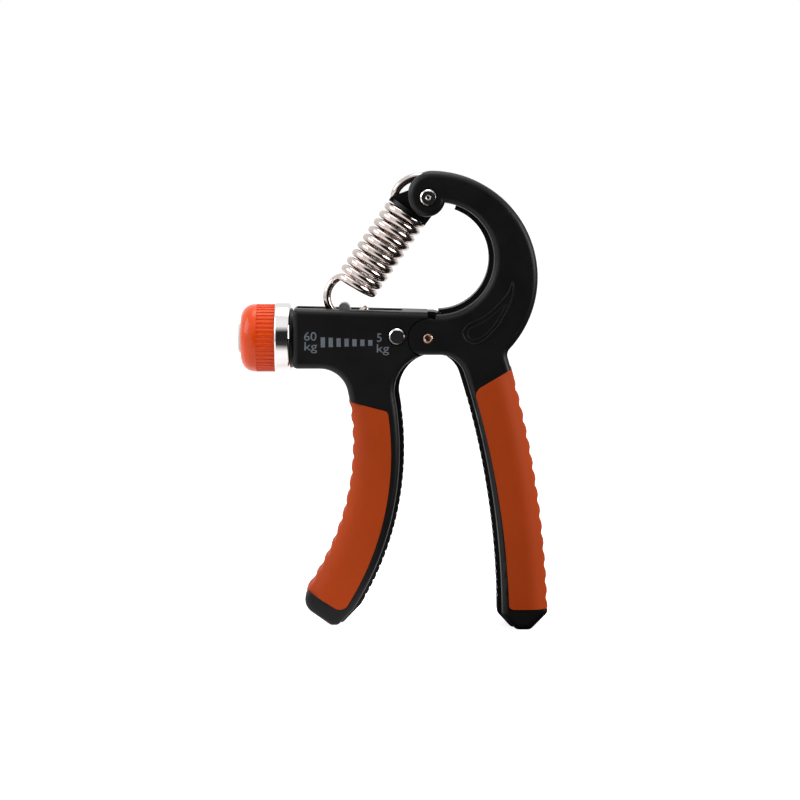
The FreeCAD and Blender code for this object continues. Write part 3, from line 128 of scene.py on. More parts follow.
class HandGripSpring(bpy.types.PropertyGroup):
    """Sizes of the wound spring, measured along its own axis from the upper rivet."""

    wire_radius: bpy.props.FloatProperty(
        name="Wire Radius", description="Half the wire's thickness",
        default=1.4 * MM, unit="LENGTH")
    coil_radius: bpy.props.FloatProperty(
        name="Coil Radius", description="From the spring's axis to the wire's middle",
        default=6.5 * MM, unit="LENGTH")
    coil_side: bpy.props.FloatProperty(
        name="Coil Side", description="How far the axis stands beside the upper rivet",
        default=-2.9 * MM, unit="LENGTH")
    coil_foot: bpy.props.FloatProperty(
        name="Coil Foot", description="Height of the lowest turn's start",
        default=-40.0 * MM, unit="LENGTH")
    pitch: bpy.props.FloatProperty(
        name="Pitch", description="Rise of one turn", default=3.27 * MM, unit="LENGTH")
    turns: bpy.props.FloatProperty(
        name="Turns", description="Number of turns", default=10.0)
    bend: bpy.props.FloatProperty(
        name="Hook Bend", description="Wire length given up at each end to lead into the hook",
        default=4.6 * MM, unit="LENGTH")
    tip: bpy.props.FloatProperty(
        name="Hook Tip", description="Straight wire past each hook's bend",
        default=2.8 * MM, unit="LENGTH")
    lower_hook: bpy.props.FloatProperty(
        name="Lower Hook", description="Radius of the hook on the carriage pin",
        default=7.28 * MM, unit="LENGTH")
    upper_hook: bpy.props.FloatProperty(
        name="Upper Hook", description="Radius of the hook over the spring seat",
        default=9.5 * MM, unit="LENGTH")
    sides: bpy.props.IntProperty(
        name="Sides", description="Faces round the wire", default=20, min=8)


class HandGripPrint(bpy.types.PropertyGroup):
    """Sizes of the load scale printed on the housing's front."""

    height: bpy.props.FloatProperty(
        name="Figure Height", description="Height of the printed figures",
        default=3.05 * MM, unit="LENGTH")
    lift: bpy.props.FloatProperty(
        name="Ink Lift", description="How far the ink stands on the plastic",
        default=0.04 * MM, unit="LENGTH")
    bars: bpy.props.IntProperty(
        name="Bars", description="Number of bars between the two loads", default=7, min=2)
    low_load: bpy.props.StringProperty(
        name="Low Load", description="Figure at the weak end", default="5")
    high_load: bpy.props.StringProperty(
        name="High Load", description="Figure at the strong end", default="60")
    unit_word: bpy.props.StringProperty(
        name="Unit", description="Unit under each figure", default="kg")


class HandGripColours(bpy.types.PropertyGroup):
    """Colours of the finishes."""

    plastic: bpy.props.FloatVectorProperty(
        name="Black Plastic", description="Handles, housing and seat",
        default=(0.0042, 0.0040, 0.0041), subtype="COLOR")
    rubber: bpy.props.FloatVectorProperty(
        name="Grip Rubber", description="Soft covers of both handles",
        default=(0.46, 0.054, 0.0045), subtype="COLOR")
    knob: bpy.props.FloatVectorProperty(
        name="Knob Plastic", description="Glossy plastic of the adjusting knob",
        default=(0.86, 0.074, 0.005), subtype="COLOR")
    chrome: bpy.props.FloatVectorProperty(
        name="Chrome", description="Plated trim ring and rivets",
        default=(0.86, 0.83, 0.82), subtype="COLOR")
    spring_steel: bpy.props.FloatVectorProperty(
        name="Spring Steel", description="Plated spring wire",
        default=(0.64, 0.555, 0.52), subtype="COLOR")
    copper: bpy.props.FloatVectorProperty(
        name="Rivet Brass", description="Hollow rivet on the hinge",
        default=(0.66, 0.43, 0.33), subtype="COLOR")
    pale: bpy.props.FloatVectorProperty(
        name="Pale Plastic", description="End cap of the knob",
        default=(0.80, 0.81, 0.79), subtype="COLOR")
    ink: bpy.props.FloatVectorProperty(
        name="Scale Ink", description="Printed load scale",
        default=(0.16, 0.18, 0.21), subtype="COLOR")


class HandGripStudio(bpy.types.PropertyGroup):
    """The stage round the part."""

    distance: bpy.props.FloatProperty(
        name="Camera Distance", description="From the camera to the middle of the part",
        default=1.0, unit="LENGTH")
    elevation: bpy.props.FloatProperty(
        name="Camera Elevation", description="Camera angle above the horizon",
        default=math.radians(5.3), subtype="ANGLE")
    lens: bpy.props.FloatProperty(
        name="Lens", description="Focal length in millimetres", default=128.6)
    target: bpy.props.FloatVectorProperty(
        name="Target", description="Point in the middle of the picture",
        default=(0.0024, 0.0, 0.0796), subtype="TRANSLATION")
    soft_level: bpy.props.FloatProperty(
        name="Room Level", description="Light that comes from all round", default=0.55)
    dark_level: bpy.props.FloatProperty(
        name="Dark Level", description="Light that comes from the unlit ends", default=0.02)


SETTINGS = (
    ("hand_grip_spring", HandGripSpring),
    ("hand_grip_print", HandGripPrint),
    ("hand_grip_colours", HandGripColours),
    ("hand_grip_studio", HandGripStudio),
)


# ---------------------------------------------------------------- shapes


def unit(rows):
    """Each row divided by its own length."""
    return rows / np.linalg.norm(rows, axis=1)[:, None]


def mesh_piece(name, points, faces, smooth=True):
    """A new object from an array of corner points and a list of faces, at the origin."""
    mesh = bpy.data.meshes.new(name)
    mesh.from_pydata(points.tolist(), [], faces)
    mesh.polygons.foreach_set("use_smooth", np.full(len(mesh.polygons), smooth))
    mesh.validate()
    mesh.update()
    piece = bpy.data.objects.new(name, mesh)
    bpy.context.scene.collection.objects.link(piece)
    return piece


def ring_faces(rings, sides, closed):
    """Four-sided faces between neighbouring rings: corner (ring, side) joins (ring + 1, side)
    and the next side round, with the last side joined to the first."""
    count = rings if closed else rings - 1
    ring, side = np.meshgrid(np.arange(count), np.arange(sides), indexing="ij")
    after, beside = (ring + 1) % rings, (side + 1) % sides
    corners = [ring * sides + side, after * sides + side,
               after * sides + beside, ring * sides + beside]
    return np.stack(corners, -1).reshape(-1, 4).tolist()


def swept(name, centre, outward, across, up, closed):
    """A closed section carried along a path. At each centre point the section's corners lie at
    across * normal + up * binormal, where the tangent comes from the neighbouring points, the
    normal is the outward arrow with its part along the tangent taken away, and the binormal is
    the tangent crossed with the normal. An open path ends in a flat fan round the end point."""
    if closed:
        tangent = unit(np.roll(centre, -1, 0) - np.roll(centre, 1, 0))
    else:
        tangent = unit(np.gradient(centre, axis=0))
    normal = unit(outward - (outward * tangent).sum(1)[:, None] * tangent)
    binormal = np.cross(tangent, normal)
    rings, sides = across.shape
    corners = (centre[:, None] + across[..., None] * normal[:, None]
               + up[..., None] * binormal[:, None])
    points = corners.reshape(-1, 3)
    faces = ring_faces(rings, sides, closed)
    if not closed:
        side = np.arange(sides)
        beside = (side + 1) % sides
        last = (rings - 1) * sides
        points = np.vstack([points, centre[:1], centre[-1:]])
        first_pole = np.full(sides, len(points) - 2)
        last_pole = np.full(sides, len(points) - 1)
        faces += np.stack([side, beside, first_pole], -1).tolist()
        faces += np.stack([last + beside, last + side, last_pole], -1).tolist()
    return mesh_piece(name, points, faces)


def even_steps(points, other, step):
    """The same path and a second array beside it, resampled at equal steps of path length."""
    run = np.concatenate([[0.0], np.cumsum(np.linalg.norm(np.diff(points, axis=0), axis=1))])
    at = np.linspace(0.0, run[-1], int(run[-1] / step) + 1)
    columns = np.hstack([points, other])
    even = np.stack([np.interp(at, run, column) for column in columns.T], 1)
    return even[:, :3], even[:, 3:], at


def eased(start, start_way, end, end_way, count):
    """Points of the cubic that leaves one point in one direction and reaches another point in
    another: a blend of the two points and the two directions, each as long as the gap."""
    t = np.linspace(0.0, 1.0, count)[1:-1, None]
    gap = np.linalg.norm(end - start)
    return ((2 * t**3 - 3 * t**2 + 1) * start + (t**3 - 2 * t**2 + t) * gap * start_way
            + (3 * t**2 - 2 * t**3) * end + (t**3 - t**2) * gap * end_way)


def arc(centre, radius, start, end, count):
    """Points and outward arrows of an arc in the plane of the handles: centre + radius *
    (cos angle, 0, sin angle), with the angle running evenly from start to end in degrees."""
    angle = np.radians(np.linspace(start, end, count))
    outward = np.stack([np.cos(angle), 0 * angle, np.sin(angle)], 1)
    return np.array(centre) + radius * outward, outward


def spring_path(size):
    """Middle line of the wire and its outward arrows, in the spring's own frame. The coil is
    (r cos a, r sin a, foot + pitch * turn) with a = half a turn + turn; each end is led by a
    cubic into a straight or an arc of its hook, and a straight tip follows the hook's bend."""
    clear = size.bend / (2 * math.pi * size.coil_radius)
    turn = np.linspace(clear, size.turns - clear, COIL_POINTS)
    angle = math.pi + 2 * math.pi * turn
    radial = np.stack([np.cos(angle), np.sin(angle), 0 * angle], 1)
    side = np.array([size.coil_side, 0.0, 0.0])
    rise = np.array([0.0, 0.0, 1.0])
    coil = side + size.coil_radius * radial + (size.coil_foot + size.pitch * turn)[:, None] * rise
    way = unit(np.gradient(coil, axis=0))

    low_centre = (size.coil_side, 0.0, size.coil_foot - LOW_HOOK_DROP * MM)
    low_arc, low_out = arc(low_centre, size.lower_hook, *LOW_HOOK_ARC, LOW_POINTS)
    low_way = low_arc[0] - low_arc[1]
    low_tip = low_arc[0] + size.tip * low_way / np.linalg.norm(low_way)
    low_top = np.array([low_arc[-1, 0], 0.0, coil[0, 2] - LOW_WIRE_DROP * MM])
    low_join = eased(low_top, rise, coil[0], way[0], JOIN_POINTS)

    top_centre = np.array(TOP_HOOK_MIDDLE) * MM
    top_arc, top_out = arc(top_centre, size.upper_hook, *TOP_HOOK_ARC, TOP_POINTS)
    top_way = top_arc[-1] - top_arc[-2]
    top_tip = top_arc[-1] + size.tip * top_way / np.linalg.norm(top_way)
    top_join = eased(coil[-1], way[-1], top_arc[0], rise, JOIN_POINTS)

    points = np.vstack([low_tip, low_arc, low_top, low_join, coil, top_join, top_arc, top_tip])
    low_fade = np.linspace(low_out[-1], radial[0], len(low_join))
    top_fade = np.linspace(radial[-1], top_out[0], len(top_join))
    outward = np.vstack([low_out[0], low_out, low_out[-1], low_fade, radial,
                         top_fade, top_out, top_out[-1]])
    return even_steps(points, outward, RING_STEP * MM)


def to_world(points):
    """Points of the spring's frame in the frame of the part: turned about Y by the spring's tilt
    and moved to the upper rivet."""
    c, s = math.cos(SPRING_TILT), math.sin(SPRING_TILT)
    turn = np.array([[c, 0.0, s], [0.0, 1.0, 0.0], [-s, 0.0, c]])
    return points @ turn.T + np.array(SPRING_ORIGIN)


def smooth_loop(knots, count):
    """A closed smooth line through the knots: between two knots runs the cubic whose slope at
    each of them is half the step between that knot's neighbours, sampled evenly."""
    at = np.linspace(0.0, len(knots), count, endpoint=False)
    base = at.astype(int)
    t = (at - base)[:, None]
    a, b, c, d = (knots[(base + shift) % len(knots)] for shift in (-1, 0, 1, 2))
    bend, twist = 2 * a - 5 * b + 4 * c - d, 3 * b - a - 3 * c + d
    return (2 * b + (c - a) * t + bend * t**2 + twist * t**3) / 2


# ---------------------------------------------------------------- shader helpers


def group_tree(name, inputs, outputs):
    """A node group with named sockets, and its input and output nodes."""
    tree = bpy.data.node_groups.new(name, "ShaderNodeTree")
    for label, kind, value in inputs:
        socket = tree.interface.new_socket(label, in_out="INPUT", socket_type=kind)
        socket.default_value = value
    for label in outputs:
        tree.interface.new_socket(label, in_out="OUTPUT", socket_type="NodeSocketFloat")
    return tree, tree.nodes.new("NodeGroupInput"), tree.nodes.new("NodeGroupOutput")


def math_node(tree, kind, first, second):
    """A Math node whose two entries are sockets or numbers; gives its output socket."""
    node = tree.nodes.new("ShaderNodeMath")
    node.operation = kind
    for entry, value in zip(node.inputs, (first, second)):
        if isinstance(value, bpy.types.NodeSocket):
            tree.links.new(value, entry)
        else:
            entry.default_value = value
    return node.outputs[0]


def noise_node(tree, where, scale, detail, roughness):
    """A Noise node on the given coordinates; gives its value socket."""
    node = tree.nodes.new("ShaderNodeTexNoise")
    node.inputs["Detail"].default_value = detail
    node.inputs["Roughness"].default_value = roughness
    tree.links.new(where, node.inputs["Vector"])
    if isinstance(scale, bpy.types.NodeSocket):
        tree.links.new(scale, node.inputs["Scale"])
    else:
        node.inputs["Scale"].default_value = scale
    return node.outputs["Fac"]


def spread_node(tree, value, low, high, to_low, to_high):
    """A Map Range node from low..high to to_low..to_high; gives its output socket."""
    node = tree.nodes.new("ShaderNodeMapRange")
    node.inputs["From Min"].default_value = low
    node.inputs["From Max"].default_value = high
    node.inputs["To Min"].default_value = to_low
    node.inputs["To Max"].default_value = to_high
    tree.links.new(value, node.inputs["Value"])
    return node.outputs["Result"]


def moulded_grain():
    """Group: etched mould texture, its scales in features a metre. Grain is fine noise for the
    bump, Cloud is broad noise for slow changes of tone and gloss, Scuff is a mask of short
    rubbed marks."""
    tree, source, result = group_tree(
        "Moulded Grain",
        [("Vector", "NodeSocketVector", (0.0, 0.0, 0.0)),
         ("Grain Scale", "NodeSocketFloat", 3000.0),
         ("Cloud Scale", "NodeSocketFloat", 60.0),
         ("Scuff Scale", "NodeSocketFloat", 240.0)],
        ["Grain", "Cloud", "Scuff"])
    where = source.outputs["Vector"]
    fine = noise_node(tree, where, source.outputs["Grain Scale"], detail=3.0, roughness=0.65)
    cloud = noise_node(tree, where, source.outputs["Cloud Scale"], detail=4.0, roughness=0.55)
    squeeze = tree.nodes.new("ShaderNodeMapping")
    squeeze.inputs["Rotation"].default_value = (0.3, 0.5, 0.2)
    squeeze.inputs["Scale"].default_value = (1.0, 1.0, 0.12)
    tree.links.new(where, squeeze.inputs["Vector"])
    scuff = noise_node(tree, squeeze.outputs["Vector"], source.outputs["Scuff Scale"],
                       detail=6.0, roughness=0.7)
    mask = spread_node(tree, scuff, low=0.62, high=0.78, to_low=0.0, to_high=1.0)
    tree.links.new(fine, result.inputs["Grain"])
    tree.links.new(cloud, result.inputs["Cloud"])
    tree.links.new(mask, result.inputs["Scuff"])
    return tree


def metal_polish():
    """Group: Streak is fine noise, drawn out where the coordinates are stretched, and Haze is
    a broad mask of fingered, slightly duller metal. Scales are in features a metre."""
    tree, source, result = group_tree(
        "Metal Polish",
        [("Vector", "NodeSocketVector", (0.0, 0.0, 0.0)),
         ("Streak Scale", "NodeSocketFloat", 900.0),
         ("Haze Scale", "NodeSocketFloat", 160.0)],
        ["Streak", "Haze"])
    where = source.outputs["Vector"]
    streak = noise_node(tree, where, source.outputs["Streak Scale"], detail=5.0, roughness=0.7)
    haze = noise_node(tree, where, source.outputs["Haze Scale"], detail=3.0, roughness=0.5)
    mask = spread_node(tree, haze, low=0.42, high=0.68, to_low=0.0, to_high=1.0)
    tree.links.new(streak, result.inputs["Streak"])
    tree.links.new(mask, result.inputs["Haze"])
    return tree


def material_tree(name, source="Object"):
    """A material with its Principled shader and the coordinates that its patterns read. The
    prefix keeps it apart from the frame's own material of that slot."""
    made = bpy.data.materials.new("finish_" + name)
    made.use_nodes = True
    tree = made.node_tree
    shader = tree.nodes["Principled BSDF"]
    place = tree.nodes.new("ShaderNodeTexCoord")
    return made, tree, shader, place.outputs[source]


def stretch(tree, where, scale):
    """The coordinates with each axis multiplied by its scale."""
    node = tree.nodes.new("ShaderNodeMapping")
    node.inputs["Scale"].default_value = scale
    tree.links.new(where, node.inputs["Vector"])
    return node.outputs["Vector"]


def placed_group(tree, group, where, **values):
    """The group placed in a material, with its own values; underscores stand for spaces."""
    node = tree.nodes.new("ShaderNodeGroup")
    node.node_tree = group
    tree.links.new(where, node.inputs["Vector"])
    for label, value in values.items():
        node.inputs[label.replace("_", " ")].default_value = value
    return node.outputs


def two_tone(tree, factor, first, second):
    """A colour between two colours; gives its colour socket."""
    node = tree.nodes.new("ShaderNodeMix")
    node.data_type = "RGBA"
    node.inputs["A"].default_value = (*first, 1.0)
    node.inputs["B"].default_value = (*second, 1.0)
    tree.links.new(factor, node.inputs["Factor"])
    return node.outputs["Result"]


def raise_surface(tree, shader, height, distance, strength):
    """Height on the surface's normal, in metres at full height, through a Bump node."""
    node = tree.nodes.new("ShaderNodeBump")
    node.inputs["Distance"].default_value = distance
    node.inputs["Strength"].default_value = strength
    tree.links.new(height, node.inputs["Height"])
    tree.links.new(node.outputs["Normal"], shader.inputs["Normal"])


def finish(name):
    """The finish of that name."""
    return bpy.data.materials["finish_" + name]


def shade(colour, factor):
    """The colour with its light multiplied by a factor."""
    return tuple(min(1.0, part * factor) for part in colour)


def dress(names, material):
    """Puts one material on CAD nodes, by their names."""
    for name in names:
        slots = NODES[name].material_slots
        for slot in slots:
            slot.material = material
        if not slots:
            NODES[name].data.materials.append(material)


# ---------------------------------------------------------------- materials


def black_plastic(colours, grain):
    """Satin black nylon: fine etched grain, slow changes of gloss and a few dull rubbed marks."""
    made, tree, shader, where = material_tree("black_plastic")
    marks = placed_group(tree, grain, where,
                         Grain_Scale=3400.0, Cloud_Scale=70.0, Scuff_Scale=420.0)
    tone = two_tone(tree, marks["Cloud"], shade(colours.plastic, 0.75), shade(colours.plastic, 1.3))
    tree.links.new(tone, shader.inputs["Base Color"])
    gloss = spread_node(tree, marks["Cloud"], NOISE_LOW, NOISE_HIGH, to_low=0.36, to_high=0.46)
    dull = math_node(tree, "MULTIPLY", marks["Scuff"], 0.1)
    tree.links.new(math_node(tree, "ADD", gloss, dull), shader.inputs["Roughness"])
    shader.inputs["Specular IOR Level"].default_value = 0.26
    raise_surface(tree, shader, marks["Grain"], distance=0.02 * MM, strength=0.45)
    return made


def grip_rubber(colours, grain):
    """Matte soft cover: broad changes of tone and gloss, and a fine skin."""
    made, tree, shader, where = material_tree("orange_rubber")
    marks = placed_group(tree, grain, where,
                         Grain_Scale=2400.0, Cloud_Scale=45.0, Scuff_Scale=300.0)
    tone = two_tone(tree, marks["Cloud"], shade(colours.rubber, 0.88), shade(colours.rubber, 1.12))
    tree.links.new(tone, shader.inputs["Base Color"])
    skin = spread_node(tree, marks["Cloud"], NOISE_LOW, NOISE_HIGH, to_low=0.55, to_high=0.68)
    tree.links.new(skin, shader.inputs["Roughness"])
    shader.inputs["Specular IOR Level"].default_value = 0.16
    raise_surface(tree, shader, marks["Grain"], distance=0.06 * MM, strength=0.6)
    return made


def knob_plastic(name, colour, grain):
    """Glossy moulded plastic with slight waves and a clear skin."""
    made, tree, shader, where = material_tree(name)
    marks = placed_group(tree, grain, where,
                         Grain_Scale=1100.0, Cloud_Scale=90.0, Scuff_Scale=380.0)
    tone = two_tone(tree, marks["Cloud"], shade(colour, 0.92), shade(colour, 1.06))
    tree.links.new(tone, shader.inputs["Base Color"])
    gloss = spread_node(tree, marks["Scuff"], 0.0, 1.0, to_low=0.24, to_high=0.36)
    tree.links.new(gloss, shader.inputs["Roughness"])
    shader.inputs["Specular IOR Level"].default_value = 0.3
    shader.inputs["Coat Weight"].default_value = 0.08
    shader.inputs["Coat Roughness"].default_value = 0.12
    raise_surface(tree, shader, marks["Grain"], distance=0.02 * MM, strength=0.3)
    return made


def plated_metal(name, colour, polish, streaks, roughness, relief=0.35, source="Object"):
    """Plated or bare metal: drawn streaks in the bump, and patches of haze in gloss and tone.
    Streaks is how much each axis of the pattern is squeezed; roughness is that of clear and of
    hazy metal; relief is the strength of the bump."""
    made, tree, shader, where = material_tree(name, source)
    marks = placed_group(tree, polish, stretch(tree, where, streaks))
    tone = two_tone(tree, marks["Haze"], colour, shade(colour, 0.86))
    tree.links.new(tone, shader.inputs["Base Color"])
    shader.inputs["Metallic"].default_value = 1.0
    gloss = spread_node(tree, marks["Haze"], 0.0, 1.0, *roughness)
    tree.links.new(gloss, shader.inputs["Roughness"])
    raise_surface(tree, shader, marks["Streak"], distance=0.01 * MM, strength=relief)
    return made


def scale_ink(colours, grain):
    """Grey-blue pad print, a little broken where the plastic's grain comes through."""
    made, tree, shader, where = material_tree("scale_ink")
    marks = placed_group(tree, grain, where,
                         Grain_Scale=5200.0, Cloud_Scale=500.0, Scuff_Scale=900.0)
    tone = two_tone(tree, marks["Cloud"], shade(colours.ink, 0.6), shade(colours.ink, 1.25))
    tree.links.new(tone, shader.inputs["Base Color"])
    skin = spread_node(tree, marks["Grain"], NOISE_LOW, NOISE_HIGH, to_low=0.42, to_high=0.6)
    tree.links.new(skin, shader.inputs["Roughness"])
    raise_surface(tree, shader, marks["Grain"], distance=0.02 * MM, strength=0.4)
    return made


# ---------------------------------------------------------------- operators


class HANDGRIP_OT_stage(bpy.types.Operator):
    """Lay the pale floor, the soft lights, the room and the camera"""

    bl_idname = "hand_grip.stage"
    bl_label = "Studio and Camera"

    def execute(self, context):
        size = context.scene.hand_grip_studio
        self.room(context.scene, size)
        self.floor(size)
        for name, place, power in LAMPS:
            self.lamp(name, place, power, size.target)
        self.camera(context.scene, size)
        context.scene.view_settings.view_transform = "Standard"
        return {"FINISHED"}

    def lit_part(self, tree, way, dark):
        """One where a ray may find light, falling to the dark level inside an unlit end: the
        product over the ends of a ramp in the cosine between the ray and the end's own way."""
        factor = 1.0
        for end, half_angle in DARK_ENDS:
            along = tree.nodes.new("ShaderNodeVectorMath")
            along.operation = "DOT_PRODUCT"
            along.inputs[1].default_value = end
            tree.links.new(way, along.inputs[0])
            inside, outside = (math.cos(half_angle * share) for share in DARK_FADE)
            ramp = spread_node(tree, along.outputs["Value"], outside, inside, 1.0, dark)
            factor = math_node(tree, "MULTIPLY", ramp, factor)
        return factor

    def room(self, scene, size):
        """White to the camera; to the part a white room with two dark ends."""
        world = bpy.data.worlds.new("room")
        scene.world = world
        world.use_nodes = True
        tree = world.node_tree
        shader = tree.nodes["Background"]
        place = tree.nodes.new("ShaderNodeTexCoord")
        end = self.lit_part(tree, place.outputs["Generated"], size.dark_level)
        seen, mirrored = self.rays(tree)
        level = spread_node(tree, mirrored, 0.0, 1.0, size.soft_level, 1.0)
        lit = math_node(tree, "MULTIPLY", end, level)
        tree.links.new(math_node(tree, "MAXIMUM", seen, lit), shader.inputs["Strength"])
        shader.inputs["Color"].default_value = WHITE

    def rays(self, tree):
        """Two masks from Light Path: rays that the camera sees, straight or through glass, and
        rays in a mirror."""
        outputs = tree.nodes.new("ShaderNodeLightPath").outputs
        seen = math_node(tree, "MAXIMUM", outputs["Is Camera Ray"], outputs["Is Transmission Ray"])
        return seen, outputs["Is Glossy Ray"]

    def floor(self, size):
        """A flat sheet far wider than the part, at the height of its lower foot. Away from the
        camera its colour is painted dark as shade where it lies in the room's unlit ends.
        """
        columns_x, columns_y = FLOOR_CORNERS
        across, back = np.meshgrid(np.linspace(*FLOOR_X, columns_x),
                                   np.linspace(*FLOOR_Y, columns_y), indexing="ij")
        points = np.stack([across, back, 0 * back], -1).reshape(-1, 3)
        rows, columns = across.shape
        start = (np.arange(rows - 1)[:, None] * columns + np.arange(columns - 1)).ravel()
        corners = [start, start + columns, start + columns + 1, start + 1]
        faces = np.stack(corners, -1).tolist()
        sheet = mesh_piece("floor_sheet", points, faces)
        made, tree, shader, where = material_tree("floor_paper")
        mottle = noise_node(tree, where, 40.0, detail=3.0, roughness=0.5)
        seen, mirrored = self.rays(tree)
        # Painted shade: to all but the camera, the floor's colour falls to near black where the way
        # from the part lies in an unlit end, and its glow in a mirror fades there.
        lit = self.lit_part(tree, self.floor_way(tree, where, size.target[2]), size.dark_level)
        pale = math_node(tree, "MAXIMUM", seen, lit)
        paper = two_tone(tree, mottle, *FLOOR_PAPER)
        shaded_paper = tree.nodes.new("ShaderNodeMix")
        shaded_paper.data_type = "RGBA"
        shaded_paper.inputs["A"].default_value = FLOOR_PAINTED_SHADE
        tree.links.new(pale, shaded_paper.inputs["Factor"])
        tree.links.new(paper, shaded_paper.inputs["B"])
        tree.links.new(shaded_paper.outputs["Result"], shader.inputs["Base Color"])
        shader.inputs["Roughness"].default_value = 0.9
        shader.inputs["Specular IOR Level"].default_value = 0.0
        shader.inputs["Emission Color"].default_value = WHITE
        shine = math_node(tree, "MULTIPLY", mirrored, FLOOR_GLEAM)
        gleam = math_node(tree, "MULTIPLY", pale, shine)
        plain = math_node(tree, "MULTIPLY", seen, FLOOR_GLOW)
        glow = math_node(tree, "MAXIMUM", plain, gleam)
        tree.links.new(glow, shader.inputs["Emission Strength"])
        sheet.data.materials.append(made)

    def floor_way(self, tree, where, height):
        """The way from the middle of the part to a point of the floor, one long."""
        way = tree.nodes.new("ShaderNodeVectorMath")
        way.operation = "SUBTRACT"
        way.inputs[1].default_value = (0.0, 0.0, height)
        tree.links.new(where, way.inputs[0])
        even = tree.nodes.new("ShaderNodeVectorMath")
        even.operation = "NORMALIZE"
        tree.links.new(way.outputs["Vector"], even.inputs[0])
        return even.outputs["Vector"]

    def lamp(self, name, place, power, target):
        """A square soft light turned towards the part."""
        light = bpy.data.lights.new(name, "AREA")
        light.size = LAMP_WIDTH
        light.energy = power
        lamp = bpy.data.objects.new(name, light)
        lamp.location = place
        lamp.rotation_euler = (Vector(target) - Vector(place)).to_track_quat("-Z", "Y").to_euler()
        bpy.context.scene.collection.objects.link(lamp)

    def camera(self, scene, size):
        """The picture's camera, in front of the part and a little above it."""
        lens = bpy.data.cameras.new("camera")
        lens.lens = size.lens
        lens.clip_end = CAMERA_REACH
        camera = bpy.data.objects.new("camera", lens)
        back = Vector((0.0, -math.cos(size.elevation), math.sin(size.elevation)))
        camera.location = Vector(size.target) + back * size.distance
        camera.rotation_euler = (-back).to_track_quat("-Z", "Y").to_euler()
        scene.collection.objects.link(camera)
        scene.camera = camera


class HANDGRIP_OT_finishes(bpy.types.Operator):
    """Make the finishes and put them on the part's solid pieces"""

    bl_idname = "hand_grip.finishes"
    bl_label = "Finishes"

    def execute(self, context):
        colours = context.scene.hand_grip_colours
        grain, polish = moulded_grain(), metal_polish()
        dress(("left_handle", "right_handle", "spring_seat", "end_bush", "thrust_washer",
               "hinge_bush"), black_plastic(colours, grain))
        dress(("left_grip", "right_grip"), grip_rubber(colours, grain))
        dress(("knob_body",), knob_plastic("orange_plastic", colours.knob, grain))
        dress(("knob_cap",), knob_plastic("pale_plastic", colours.pale, grain))
        chrome = plated_metal("chrome_trim", colours.chrome, polish,
                              streaks=(0.15, 1.0, 1.0), roughness=(0.06, 0.12))
        dress(("knob_ring", "block_rivet", "upper_rivet"), chrome)
        steel = plated_metal("machined_steel", shade(colours.chrome, 0.95), polish,
                             streaks=(1.0, 1.0, 0.2), roughness=(0.32, 0.46))
        dress(("adjusting_screw", "bearing_block", "carriage", "carriage_pin",
               "knob_fixing_screw", "retaining_ring"), steel)
        copper = plated_metal("brass_rivet", colours.copper, polish,
                              streaks=(1.0, 1.0, 1.0), roughness=(0.2, 0.32))
        dress(("hinge_rivet",), copper)
        plated_metal("spring_steel", colours.spring_steel, polish, streaks=(0.05, 0.5, 1.0),
                     roughness=(0.13, 0.18), relief=0.06, source="UV")
        scale_ink(colours, grain)
        return {"FINISHED"}


class HANDGRIP_OT_spring(bpy.types.Operator):
    """Wind the spring with its two hooks"""

    bl_idname = "hand_grip.spring"
    bl_label = "Spring"

    def execute(self, context):
        size = context.scene.hand_grip_spring
        points, outward, run = spring_path(size)
        angle = np.linspace(0.0, 2 * math.pi, size.sides, endpoint=False)
        from_end = np.minimum(run, run[-1] - run)
        round_off = WIRE_ROUND * MM
        inset = np.clip(round_off - from_end, 0.0, round_off)
        radius = size.wire_radius - round_off + np.sqrt(np.maximum(round_off**2 - inset**2, 0.0))
        across = radius[:, None] * np.cos(angle)
        up = radius[:, None] * np.sin(angle)
        turned = to_world(unit(outward)) - np.array(SPRING_ORIGIN)
        spring = swept("spring_wire", to_world(points), turned, across, up, False)
        self.wrap(spring, run, angle, size)
        spring.data.materials.append(finish("spring_steel"))
        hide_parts("spring")
        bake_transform(spring)
        return {"FINISHED"}

    def wrap(self, spring, run, angle, size):
        """A UV map in metres: the way along the wire, and the way round it from its outer line,
        the same on both sides, so that the pattern has no seam there."""
        mesh = spring.data
        corner = np.zeros(len(mesh.loops), np.int32)
        mesh.loops.foreach_get("vertex_index", corner)
        ring, side = np.divmod(np.minimum(corner, len(run) * size.sides - 1), size.sides)
        along = run[ring]
        about = size.wire_radius * np.abs(angle[side] - math.pi)
        layer = mesh.uv_layers.new(name="wire")
        layer.data.foreach_set("uv", np.stack([along, about], 1).astype(np.float32).ravel())


